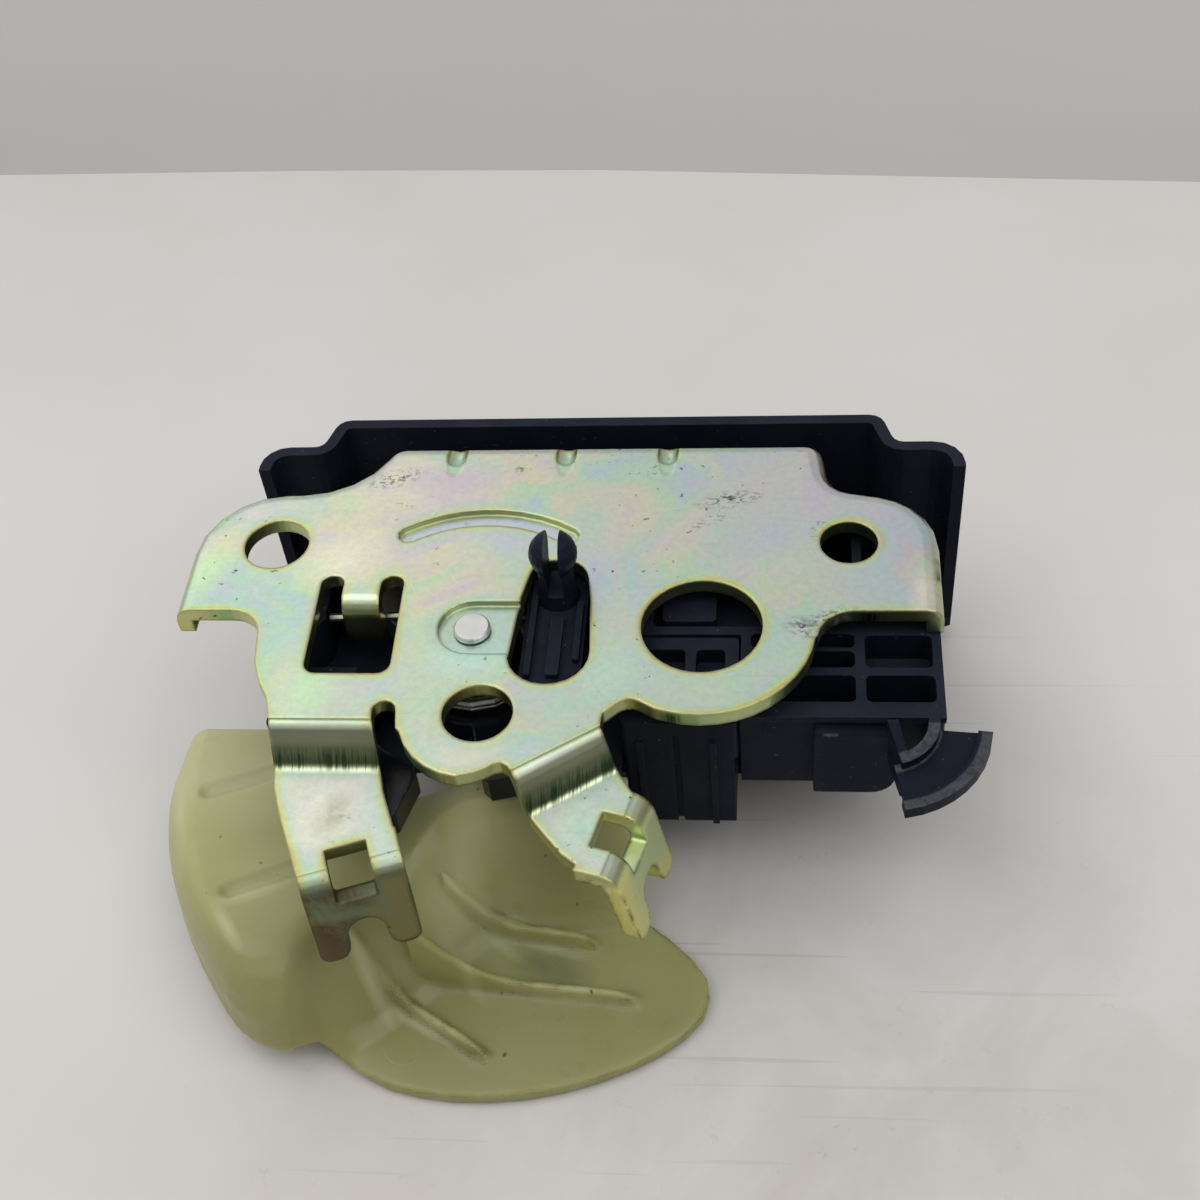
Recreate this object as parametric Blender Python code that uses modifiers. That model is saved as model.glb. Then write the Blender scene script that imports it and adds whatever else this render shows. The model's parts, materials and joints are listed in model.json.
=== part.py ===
# Boot lock: stamped base plate, black housing with latch mechanism and drive, and a pale release handle.
# The origin lies on the mounting face, midway between the two upper fixing holes.
# +Z leaves the mounting face, +Y points to the top edge, +X to the right. Sizes are in millimetres.

import math

import bmesh
import bpy
from mathutils import Matrix, Vector
from mathutils.bvhtree import BVHTree

MM = 0.001
GAP = 0.3

# Sheet metal
SHEET = 2.5
SKIN = 0.02
PRESS_DEPTH = 1.0
RIM_DEPTH = 5.0
RIM_BEND = 2.6
BEND_INSIDE = 1.5
RIB_PLACES = (-18.5, -0.4, 16.3)
RIB_RADIUS = 1.85
RIB_WALL = 1.6
RIB_LENGTH = 5.6
RIB_DEPTH = 1.1
RIB_SLOPE = 8.0

# Fixing holes
FIX_SPACING = 90.0
FIX_RADIUS = 5.2
RIGHT_HOLE_RADIUS = 4.45
LOW_HOLE = (-8.7, -33.8)
BIG_HOLE = (23.0, -17.0)
BIG_HOLE_RADIUS = 9.05

# Plate outline
PLATE_LEFT = -58.7
PLATE_RIGHT = 58.8
PLATE_TOP = 23.0
WING_TOP = 12.1
WING_BOTTOM = -14.0
WING_RADIUS = 13.4
LOBE_RADIUS = 16.9
LOW_LOBE_RADIUS = 11.3

# Legs and forked tabs
JOGGLE_DEPTH = 6.0
JOGGLE_RUN = 3.9
LEFT_BEND_Y = -35.7
RIGHT_LEG_ANGLE = 34.4
RIGHT_BEND_OFFSET = 35.15
TAB_DROP = 15.0
TAB_FLARE = 2.9
TAB_WIDTH = 14.8
TAB_NOTCH = 5.5
TAB_NOTCH_DEPTH = 6.6
TAB_WINDOW = 6.0
TONGUE_Y = 12.9
TONGUE_FOOT = -8.6
LEFT_TAB_CENTRE = (-25.0, -55.75)
LEFT_TAB_ANGLE = -70.6
RIGHT_TAB_CENTRE = (12.2, -50.2)
RIGHT_TAB_ANGLE = -14.8

# Catch
PIVOT = (-11.5, -17.4)
CATCH_PIN_RADIUS = 4.0
CATCH_HUB_RADIUS = 11.0
CATCH_THICK = 4.8
HOOK_RADIUS = 30.4
HOOK_INNER_RADIUS = 20.2
HEEL_RADIUS = 22.0
TOOTH_RADIUS = 16.0
RIVET_HEAD_RADIUS = 2.8
RIVET_HEAD_HEIGHT = 0.9
RIVET_EDGE = 0.3
RIVET_SHANK_RADIUS = 2.2

# Catch spring
SPRING_RADIUS = 8.8
SPRING_WIRE = 1.5
SPRING_TURNS = 2.0

# Pawl
PAWL_PIVOT = (-31.2, 7.6)
PAWL_PIN_RADIUS = 1.8
PAWL_HUB_RADIUS = 3.7
PAWL_ARM_WIDTH = 4.0
PAWL_ARM_END = (5.0, -0.3)
PAWL_SPRING_WIRE = 1.0
PAWL_SPRING_RADIUS = 2.8

# Release slide and split peg
SLIDE_THICK = 2.0
SLIDE_WIDTH = 9.4
SLIDE_TOP_Y = 1.2
SLIDE_LENGTH = 26.5
PEG_AT = (0.45, -7.6)
PEG_STEM_RADIUS = 3.0
PEG_HEAD_RADIUS = 3.75
PEG_HEAD_LENGTH = 7.0
PEG_HEIGHT = 9.4
PEG_SLOT = 2.3

# Housing
WALL = 2.0
FLOOR_THICK = 1.8
HOUSING_RIGHT = 58.4
HOUSING_FRONT = -29.3
MOUTH_FRONT = -32.5
FRONT_WALL_DEPTH = 16.4
GUARD_CENTRE = (49.3, -30.3)
GUARD_RADIUS = 8.2
GUARD_DEPTH = 8.0
FAN_RADIUS = 15.6
FAN_DEPTH = 2.6
BLOCK_LEFT = 39.5
BLOCK_RIGHT = 51.5
SCREW_PLACES = [(-18.6, -9.6), (-18.6, 16.6), (46.6, -9.6), (20.4, 16.6)]
CHAMBER_LEFT = -22.0
CHAMBER_RIGHT = 50.0
CHAMBER_FRONT = -13.0
CHAMBER_BACK = 20.0
COVER_THICK = 2.0
COVER_LEVEL = -40.0
SHIELD_THICK = 2.0
SHIELD_TOP = -1.5

# Connector
CONNECTOR_LEFT = 11.3
CONNECTOR_RIGHT = 28.4
CONNECTOR_FRONT = -31.0
CONNECTOR_BACK = -14.5
CONNECTOR_BOTTOM = -30.0
PIN_COUNT = 4
PIN_PITCH = 3.2
PIN_Y = -22.5
SOCKET_ROOF = -17.0

# Drive
MOTOR_Y = 9.5
MOTOR_RADIUS = 9.6
MOTOR_FLAT = 7.4
MOTOR_LEFT = 24.0
MOTOR_RIGHT = 47.0
WORM_PITCH = 2.2
WORM_PITCH_RADIUS = 2.4
WORM_WIRE = 0.45
THREAD_ROOT = 0.4
WHEEL_TEETH = 24
WHEEL_X = 10.0
WHEEL_THICK = 3.0
WHEEL_ADDENDUM = 0.2
WHEEL_DEDENDUM = 0.9
CAM_RADIUS = 7.0
CAM_PIN_RADIUS = 1.5
CAM_ANGLE = 75.0
CAM_TRAVEL = 100.0
AXLE_RADIUS = 1.5
SHAFT_RADIUS = 1.0
HUB_TOP = -20.6
HUB_BACK = -31.0
WORM_LEFT = 2.0
WORM_RIGHT = 18.0

# Handle
HANDLE_WALL = 2.2
HANDLE_PIN = (-33.5, -27.8)
HANDLE_PIN_RADIUS = 1.5
KNUCKLE_RADIUS = 3.2
LUG_RADIUS = 3.0
KNUCKLES = [(-37.4, -28.7, 7.5), (-0.2, 7.3, 3.9)]
LUGS = [(-40.2, -37.7), (-28.4, -25.9), (-3.0, -0.5), (7.6, 9.9)]
LIP_LEVEL = -40.6
LIP_CROWN = 0.8
LOBE_RIM = -37.0
LOBE_SKIRT = 3.0
PLATEAU_LEVEL = -22.0
BACK_LEVEL = -15.3
LOBE_END = -24.0
HIGH_START = -8.0
SECTION_STEPS = 2
LIP_ROWS = 3
WALL_ROWS = 5
TOP_ROWS = 3
GUSSET_THICK = 1.3
GUSSET_RISE = 1.4
GUSSET_STEPS = 12
GUSSET_FALL = 0.5
GUSSET_FADE = 0.12
GUSSETS = [((-31.0, -53.6, -23.0), (-8.0, -67.6, -37.4)), ((-20.5, -54.6, -22.0), (14.2, -57.1, -37.6)),
           ((-16.0, -45.2, -23.0), (7.2, -48.0, -36.8))]
PANEL_GROOVES = [((-54.4, -32.2), (-42.0, -27.4)), ((-47.2, -50.2), (-37.0, -45.7))]
GROOVE_RADIUS = 1.6
GROOVE_DEPTH = 0.7

# Sections of the handle from its left end round to its right end. Each holds its share of the lobe's
# shape, then X and Y of its rim, of the foot of its wall, of the wall's crest and of the back edge.
HANDLE_SECTIONS = [
    (1, -62.6, -19.4, -62.2, -19.5, -57.6, -20.0, -43.5, -20.0),
    (1, -63.9, -27.0, -63.5, -27.0, -57.4, -28.0, -42.2, -26.0),
    (1, -63.4, -34.0, -63.0, -34.0, -56.3, -35.5, -41.0, -31.0),
    (1, -61.0, -42.0, -60.6, -41.8, -54.0, -43.5, -39.6, -35.0),
    (1, -56.8, -50.6, -56.5, -50.2, -50.6, -51.0, -38.0, -38.0),
    (1, -51.9, -58.0, -51.6, -57.6, -47.3, -55.6, -35.5, -38.2),
    (1, -46.6, -64.8, -46.4, -64.3, -43.6, -58.4, -33.0, -38.2),
    (1, -41.5, -68.1, -41.3, -67.5, -40.3, -58.2, -31.0, -38.2),
    (1, -37.4, -68.6, -37.3, -67.9, -37.0, -55.5, -29.0, -38.2),
    (0.6, -33.8, -66.4, -33.3, -65.6, -33.6, -52.8, -27.5, -38.2),
    (0.1, -30.2, -68.4, -27.6, -66.2, -30.2, -50.8, -26.3, -37.6),
    (0, -23.0, -71.8, -23.0, -62.8, -26.6, -48.6, -25.2, -35.0),
    (0, -13.0, -73.3, -18.6, -58.6, -23.0, -46.2, -23.4, -33.4),
    (0, -2.0, -72.5, -14.6, -53.8, -20.2, -43.4, -20.0, -33.4),
    (0, 8.0, -69.6, -10.8, -49.2, -17.4, -39.4, -16.4, -33.4),
    (0, 17.0, -65.0, -6.4, -46.8, -11.4, -37.9, -11.8, -33.4),
    (0, 23.2, -59.0, 0.0, -45.8, -4.0, -37.6, -4.6, -33.4),
    (0, 23.6, -52.4, 6.0, -45.2, 3.0, -37.6, 2.8, -33.4),
    (0, 18.6, -46.6, 11.0, -44.4, 8.6, -37.6, 8.4, -33.4),
    (0, 14.0, -43.2, 13.4, -42.6, 12.0, -37.6, 12.0, -33.4)]

# Levels worked out from the stack of parts
SHEET_BACK = -SHEET
PRESS_BACK = -SHEET - PRESS_DEPTH
HOUSING_TOP = -RIM_DEPTH - GAP
SLIDE_TOP = PRESS_BACK - GAP - 0.1
SLIDE_BACK = SLIDE_TOP - SLIDE_THICK
SPRING_HIGH = SLIDE_BACK - GAP - SPRING_WIRE / 2
SPRING_LOW = SPRING_HIGH - SPRING_WIRE * 1.07
CATCH_TOP = SPRING_LOW - SPRING_WIRE / 2 - GAP
CATCH_BACK = CATCH_TOP - CATCH_THICK
FLOOR_TOP = CATCH_BACK - GAP
FLOOR_BACK = FLOOR_TOP - FLOOR_THICK
COVER_TOP = COVER_LEVEL + COVER_THICK
CHAMBER_EDGE = COVER_TOP + GAP
MOTOR_Z = FLOOR_BACK - GAP - MOTOR_RADIUS
WORM_CORE_RADIUS = WORM_PITCH_RADIUS - THREAD_ROOT
WHEEL_PITCH_RADIUS = WORM_PITCH * WHEEL_TEETH / (2 * math.pi)
WHEEL_Y = MOTOR_Y - WORM_PITCH_RADIUS - WHEEL_PITCH_RADIUS
LEG_BACK = -JOGGLE_DEPTH - SHEET


def clear_scene():
    for item in list(bpy.data.objects):
        bpy.data.objects.remove(item, do_unlink=True)


def new_collection(name):
    group = bpy.data.collections.new(name)
    bpy.context.scene.collection.children.link(group)
    return group


def new_material(name, colour, roughness, metallic=0.0):
    item = bpy.data.materials.new(name)
    item.use_nodes = True
    shader = item.node_tree.nodes["Principled BSDF"]
    shader.inputs["Base Color"].default_value = (*colour, 1.0)
    shader.inputs["Roughness"].default_value = roughness
    shader.inputs["Metallic"].default_value = metallic
    return item


clear_scene()
PARTS = new_collection("boot_lock")
CUTTERS = new_collection("cutters")
ZINC = new_material("yellow_zinc", (0.62, 0.60, 0.45), 0.35, 1.0)
STEEL = new_material("bright_steel", (0.62, 0.62, 0.60), 0.3, 1.0)
SPRING_STEEL = new_material("spring_steel", (0.55, 0.55, 0.52), 0.35, 1.0)
BLACK = new_material("black_plastic", (0.018, 0.019, 0.024), 0.5)
COATED = new_material("coated_black", (0.012, 0.012, 0.016), 0.2)
CREAM = new_material("pale_green_plastic", (0.62, 0.62, 0.36), 0.35)
BRASS = new_material("brass", (0.75, 0.58, 0.25), 0.3, 1.0)
RUBBER = new_material("rubber", (0.02, 0.02, 0.02), 0.8)
NYLON = new_material("natural_nylon", (0.75, 0.72, 0.62), 0.4)


# Outlines, in millimetres

def arc(centre, radius, start, end, step=15.0):
    count = max(2, math.ceil(abs(end - start) / step))
    turns = [math.radians(start + (end - start) * i / count) for i in range(count + 1)]
    return [(centre[0] + radius * math.cos(a), centre[1] + radius * math.sin(a)) for a in turns]


def polar(centre, radius, angle):
    turn = math.radians(angle)
    return (centre[0] + radius * math.cos(turn), centre[1] + radius * math.sin(turn))


def rounded(corners, closed=True, step=18.0):
    """Points along a path whose corners are (x, y, fillet radius)."""
    points = []
    count = len(corners)
    for i, (x, y, radius) in enumerate(corners):
        here = Vector((x, y))
        inner = closed or 0 < i < count - 1
        if radius <= 0 or not inner:
            points.append((x, y))
            continue
        before = Vector(corners[i - 1][:2]) - here
        after = Vector(corners[(i + 1) % count][:2]) - here
        opening = before.angle(after)
        reach = min(radius / math.tan(opening / 2), before.length * 0.98, after.length * 0.98)
        used = reach * math.tan(opening / 2)
        middle = here + (before.normalized() + after.normalized()).normalized() * used / math.sin(opening / 2)
        first = here + before.normalized() * reach - middle
        last = here + after.normalized() * reach - middle
        sweep = first.angle_signed(last)
        steps = max(2, math.ceil(abs(math.degrees(sweep)) / step))
        base = math.atan2(first.y, first.x)
        for k in range(steps + 1):
            turn = base - sweep * k / steps
            points.append((middle.x + used * math.cos(turn), middle.y + used * math.sin(turn)))
    return points


def offset(points, distance, closed=True):
    """The path moved sideways, to its left when distance is positive."""
    count = len(points)
    moved = []
    for i, point in enumerate(points):
        here = Vector(point)
        before = here - Vector(points[i - 1]) if closed or i > 0 else None
        after = Vector(points[(i + 1) % count]) - here if closed or i < count - 1 else None
        before = before or after
        after = after or before
        left = Vector((-before.y, before.x)).normalized()
        right = Vector((-after.y, after.x)).normalized()
        bisector = (left + right).normalized()
        moved.append(tuple(here + bisector * distance / max(0.3, bisector.dot(left))))
    return moved


def rectangle(x0, x1, y0, y1, radius=0.0):
    return rounded([(x0, y0, radius), (x1, y0, radius), (x1, y1, radius), (x0, y1, radius)], step=30)


def circle(centre, radius, step=15.0):
    return arc(centre, radius, 0, 360, step)[:-1]


# Solids

def frame_at(origin, x_axis, y_axis):
    """A frame whose local X and Y run along the given directions."""
    x = Vector(x_axis).normalized()
    y = Vector(y_axis).normalized()
    z = x.cross(y)
    turn = Matrix((x, y, z)).transposed().to_4x4()
    return Matrix.Translation(Vector(origin) * MM) @ turn


def finish(name, bm, material, frame=None, smooth=None, closed=True):
    bmesh.ops.remove_doubles(bm, verts=bm.verts, dist=1e-6)
    if closed:
        bmesh.ops.recalc_face_normals(bm, faces=bm.faces)
    mesh = bpy.data.meshes.new(name)
    bm.to_mesh(mesh)
    bm.free()
    item = bpy.data.objects.new(name, mesh)
    PARTS.objects.link(item)
    mesh.materials.append(material)
    if frame is not None:
        item.matrix_world = frame
    if smooth is not None:
        mesh.shade_smooth()
        mesh.set_sharp_from_angle(angle=math.radians(smooth))
    return item


def curve_to_mesh(source):
    """The curve's own solid as a bmesh, with its caps welded."""
    PARTS.objects.link(source)
    bpy.context.view_layer.update()
    evaluated = source.evaluated_get(bpy.context.evaluated_depsgraph_get())
    mesh = bpy.data.meshes.new_from_object(evaluated)
    bm = bmesh.new()
    bm.from_mesh(mesh)
    data = source.data
    bpy.data.objects.remove(source, do_unlink=True)
    bpy.data.curves.remove(data)
    bpy.data.meshes.remove(mesh)
    bmesh.ops.remove_doubles(bm, verts=bm.verts, dist=1e-6)
    return bm


def extrude(name, loops, low, high, material=None, frame=None, smooth=None):
    """A flat outline, with any holes as further loops, extruded from low to high."""
    curve = bpy.data.curves.new(name, "CURVE")
    curve.dimensions = "2D"
    curve.fill_mode = "BOTH"
    curve.extrude = (high - low) / 2 * MM
    for loop in loops:
        spline = curve.splines.new("POLY")
        spline.points.add(len(loop) - 1)
        spline.use_cyclic_u = True
        for point, (x, y) in zip(spline.points, loop):
            point.co = (x * MM, y * MM, 0.0, 1.0)
    bm = curve_to_mesh(bpy.data.objects.new(name, curve))
    bmesh.ops.translate(bm, verts=bm.verts, vec=(0, 0, (high + low) / 2 * MM))
    return finish(name, bm, material or BLACK, frame, smooth)


def box(name, x, y, z, material=None, edge=0.0):
    bm = bmesh.new()
    bmesh.ops.create_cube(bm, size=1.0)
    size = Vector((x[1] - x[0], y[1] - y[0], z[1] - z[0])) * MM
    bmesh.ops.scale(bm, vec=size, verts=bm.verts)
    middle = Vector((x[1] + x[0], y[1] + y[0], z[1] + z[0])) * MM / 2
    bmesh.ops.translate(bm, vec=middle, verts=bm.verts)
    if edge:
        bmesh.ops.bevel(bm, geom=bm.edges[:], offset=edge * MM, segments=1, affect="EDGES")
    return finish(name, bm, material or BLACK)


def cylinder(name, centre, radius, low, high, material=None, frame=None, sides=24, top_radius=None):
    bm = bmesh.new()
    top = radius if top_radius is None else top_radius
    bmesh.ops.create_cone(bm, cap_ends=True, segments=sides, radius1=radius * MM, radius2=top * MM,
                          depth=(high - low) * MM)
    bmesh.ops.translate(bm, vec=Vector((centre[0], centre[1], (low + high) / 2)) * MM, verts=bm.verts)
    return finish(name, bm, material or BLACK, frame, smooth=40)


def turned(name, profile, material, frame, steps=24):
    """A turned piece: (radius, height) points from the top down, spun about the frame's Z."""
    mesh = bpy.data.meshes.new(name)
    points = [(radius * MM, 0.0, height * MM) for radius, height in profile]
    mesh.from_pydata(points, [(i, i + 1) for i in range(len(points) - 1)], [])
    item = bpy.data.objects.new(name, mesh)
    PARTS.objects.link(item)
    mesh.materials.append(material)
    item.matrix_world = frame
    screw = item.modifiers.new("Spin", "SCREW")
    screw.steps = steps
    screw.render_steps = steps
    screw.use_merge_vertices = True
    screw.merge_threshold = 0.00001
    screw.use_smooth_shade = True
    return item


def wire(name, points, radius, material, resolution=2):
    """A round wire along the given points."""
    curve = bpy.data.curves.new(name, "CURVE")
    curve.dimensions = "3D"
    curve.bevel_depth = radius * MM
    curve.bevel_resolution = resolution
    curve.use_fill_caps = True
    spline = curve.splines.new("POLY")
    spline.points.add(len(points) - 1)
    for target, point in zip(spline.points, points):
        target.co = (*(value * MM for value in point), 1.0)
    item = bpy.data.objects.new(name, curve)
    curve.materials.append(material)
    PARTS.objects.link(item)
    return item


# The joined solids of these pieces share flat faces, where the exact solver leaves open edges.
SHARED_FACES = ("base_plate", "rim_pan", "left_leg", "right_leg", "left_tab", "right_tab", "rib_back",
                "housing", "rear_cover", "connector_socket", "pawl", "release_slide", "release_handle",
                "worm_wheel")


def boolean(target, tool, operation):
    for group in list(tool.users_collection):
        group.objects.unlink(tool)
    CUTTERS.objects.link(tool)
    tool.hide_render = True
    tool.display_type = "WIRE"
    modifier = target.modifiers.new(f"{operation.title()} {tool.name}", "BOOLEAN")
    modifier.operation = operation
    modifier.solver = "MANIFOLD" if target.name.startswith(SHARED_FACES) else "EXACT"
    modifier.object = tool


def join(target, *tools):
    for tool in tools:
        boolean(target, tool, "UNION")


def cut(target, *tools):
    for tool in tools:
        boolean(target, tool, "DIFFERENCE")


def keep_inside(target, tool):
    boolean(target, tool, "INTERSECT")


def hang_on(item, point):
    """Move an object's origin to a joint's axis without moving its shape."""
    bpy.context.view_layer.update()
    shift = Vector(point) * MM - item.matrix_world.translation
    local = item.matrix_world.to_3x3().inverted() @ shift
    if item.type == "CURVE":
        for spline in item.data.splines:
            for target in spline.points:
                target.co = (*(Vector(target.co[:3]) - local), 1.0)
    else:
        item.data.transform(Matrix.Translation(-local))
    item.matrix_world.translation = Vector(point) * MM
    return item


def along_x(x=0.0):
    """A frame whose local X is world Y, local Y is world Z and local Z is world X."""
    return frame_at((x, 0, 0), (0, 1, 0), (0, 0, 1))


# Base plate

def upper_outline():
    """Left wing, top edge and right wing, from the left wing's lower corner clockwise."""
    return rounded([
        (PLATE_LEFT, WING_BOTTOM, 0), (PLATE_LEFT, WING_TOP, WING_RADIUS), (-34.3, WING_TOP + 0.7, 14.1),
        (-29.4, PLATE_TOP, 3.5), (41.1, PLATE_TOP, 3.1), (42.4, WING_TOP + 0.7, 4.3),
        (PLATE_RIGHT, WING_TOP - 2.7, 11.0), (PLATE_RIGHT, WING_BOTTOM, 0)])


LEFT_ROOT = [(-39.9, -33.0), (-39.4, -35.0), (-24.1, -35.0), (-24.3, -33.0)]
RIGHT_ROOT = [(-3.3, -43.2), (-2.8, -43.9), (9.2, -35.9), (9.25, -34.6)]


def flat_outline():
    """The flat lower part of the sheet, down to the legs' bends."""
    left_side = [(-48.5, -9.0), (-50.0, WING_BOTTOM)] + arc((-49.5, -19.2), 5.2, 90, 0)
    left_side += [(-43.6, -24.4), (-42.2, -28.2), (-40.5, -31.0)] + LEFT_ROOT[:2]
    slot = LEFT_ROOT[2:] + arc((-22.55, -33.4), 1.8, 180, 0, 30)
    lobe = [(-20.3, -36.6)] + arc((-8.9, -33.9), LOW_LOBE_RADIUS, 197, 262)
    relief = [(-8.0, -44.4), (-6.5, -43.6), (-5.5, -42.9), (-4.3, -42.6)]
    right_root = RIGHT_ROOT[:2] + RIGHT_ROOT[2:]
    notch = rounded([(9.25, -34.6, 0), (9.4, -33.6, 0.8), (12.8, -30.4, 2.4), (16.8, -32.8, 2.6),
                     (17.6, -33.0, 0)],
                    closed=False)
    big_lobe = arc(BIG_HOLE, LOBE_RADIUS, -108, -7, 10)
    wing = arc((45.6, -19.6), 5.6, 173, 90) + [(49.0, WING_BOTTOM), (49.0, -9.0)]
    return left_side + slot + lobe + relief + right_root + notch[1:] + big_lobe + wing


def strip(corners, thickness):
    """A bent sheet's side view: an upper path and the same path one thickness below."""
    upper = rounded(corners, closed=False, step=15)
    lower = offset(upper, -thickness, closed=False)
    return upper + lower[::-1]


def leg(name, bend, run_frame, plan):
    """A leg that steps down by the joggle depth and runs on level."""
    outside = BEND_INSIDE + SHEET
    side = strip([(bend - 6, -SKIN, 0), (bend, -SKIN, outside),
                  (bend + JOGGLE_RUN, -JOGGLE_DEPTH, BEND_INSIDE),
                  (bend + 30, -JOGGLE_DEPTH, 0)], SHEET)
    blank = extrude(name, [side], -40, 40, ZINC, run_frame)
    keep_inside(blank, extrude(f"{name}_plan", [plan], LEG_BACK - 1, 1))
    return blank


def forked_tab(name, centre, angle):
    """A tab bent down from a leg's end, with a window in the bend and an arched notch."""
    turn = math.radians(angle)
    out = Vector((math.cos(turn), math.sin(turn), 0))
    side_frame = frame_at((*centre, 0), out, (0, 0, 1))
    foot = -JOGGLE_DEPTH - TAB_DROP
    half = TAB_WIDTH / 2
    level = -JOGGLE_DEPTH - SKIN
    side = strip([(-4, level, 0), (BEND_INSIDE + 0.8, level, BEND_INSIDE + SHEET),
                  (BEND_INSIDE + 0.8 + TAB_FLARE, foot, 0)], SHEET)
    tab = extrude(name, [side], -half, half, ZINC, side_frame)
    across = out.cross(Vector((0, 0, 1)))
    front_frame = frame_at((*centre, 0), -across, (0, 0, 1))
    notch = TAB_NOTCH / 2
    front = rounded([(-half, foot, 1.6), (-notch - 0.6, foot, 2.0), (-notch, foot + 2.6, 1.0),
                     (-notch, foot + TAB_NOTCH_DEPTH, notch * 0.98),
                     (notch, foot + TAB_NOTCH_DEPTH, notch * 0.98),
                     (notch, foot + 2.6, 1.0), (notch + 0.6, foot, 2.0), (half, foot, 1.6), (half, 1, 0),
                     (-half, 1, 0)])
    keep_inside(tab, extrude(f"{name}_front", [front], -12, 12, ZINC, front_frame))
    window = rectangle(-TAB_WINDOW / 2, TAB_WINDOW / 2, -JOGGLE_DEPTH - 4.6, 1, 0.6)
    cut(tab, extrude(f"{name}_window", [window], -3.2, 12, ZINC, front_frame))
    return tab, extrude(f"{name}_flat_window", [window], -3.2, 12, ZINC, front_frame)


def rim_pan():
    """The upper part of the plate with its edge bent down."""
    outline = upper_outline()
    pan = extrude("rim_pan", [outline], -RIM_DEPTH, 0, ZINC)
    bm = bmesh.new()
    bm.from_mesh(pan.data)
    bmesh.ops.dissolve_limit(bm, angle_limit=0.001, verts=bm.verts, edges=bm.edges)
    low = (WING_BOTTOM + 0.1) * MM
    edges = [e for e in bm.edges if all(v.co.z > -1e-6 for v in e.verts)
             and len(e.link_faces) == 2 and abs(e.link_faces[0].normal.dot(e.link_faces[1].normal)) < 0.5
             and not all(v.co.y < low for v in e.verts)]
    bmesh.ops.bevel(bm, geom=edges, offset=RIM_BEND * MM, segments=3, profile=0.5, affect="EDGES")
    bm.to_mesh(pan.data)
    bm.free()
    inner = offset(outline, -SHEET, closed=False)
    inner = [(inner[0][0], WING_BOTTOM - 2)] + inner + [(inner[-1][0], WING_BOTTOM - 2)]
    cut(pan, extrude("rim_hollow", [inner], -RIM_DEPTH - 1, -SHEET, ZINC))
    return pan, inner


def groove_outline(half_width):
    middle = 23.1
    outer = arc(PIVOT, middle + half_width, 55.5, 122.8, 8)
    inner = arc(PIVOT, middle - half_width, 122.8, 55.5, 8)
    left = arc(polar(PIVOT, middle, 122.8), half_width, 122.8, 302.8, 45)[1:-1]
    right = arc(polar(PIVOT, middle, 55.5), half_width, 235.5, 415.5, 45)[1:-1]
    return outer + left + inner + right


def recess_outline(radius):
    return arc(PIVOT, radius, 90, 270, 15) + [(-3.0, PIVOT[1] - radius), (-3.0, PIVOT[1] + radius)]


def slot_outline():
    return rounded([(-3.2, -3.7, 3.2), (-5.0, -14.0, 6), (-6.1, -28.3, 6.0), (7.1, -28.4, 6.0),
                    (6.0, -12.0, 6),
                    (5.0, -3.7, 4.2)])


def window_outline():
    return rounded([(-36.3, -6.9, 1.7), (-36.0, -26.5, 2.0), (-22.8, -26.5, 2.0), (-23.2, -6.9, 1.7),
                    (-26.8, -6.9, 1.7), (-26.8, -9.9, 0), (-32.6, -9.9, 0), (-32.6, -6.9, 1.7)])


def rib_tool(name, x, radius):
    """Round-ended tool of a stiffening rib that is pressed through the top bend."""
    slope = math.radians(RIB_SLOPE)
    start = (x, PLATE_TOP - RIB_LENGTH + RIB_RADIUS, RIB_RADIUS - RIB_DEPTH)
    frame = frame_at(start, (1, 0, 0), (0, -math.sin(slope), -math.cos(slope)))
    profile = [(0, 2 * RIB_LENGTH), (radius, 2 * RIB_LENGTH)] + arc((0, 0), radius, 0, -90, 22)
    return turned(name, profile, ZINC, frame, 16)


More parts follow.
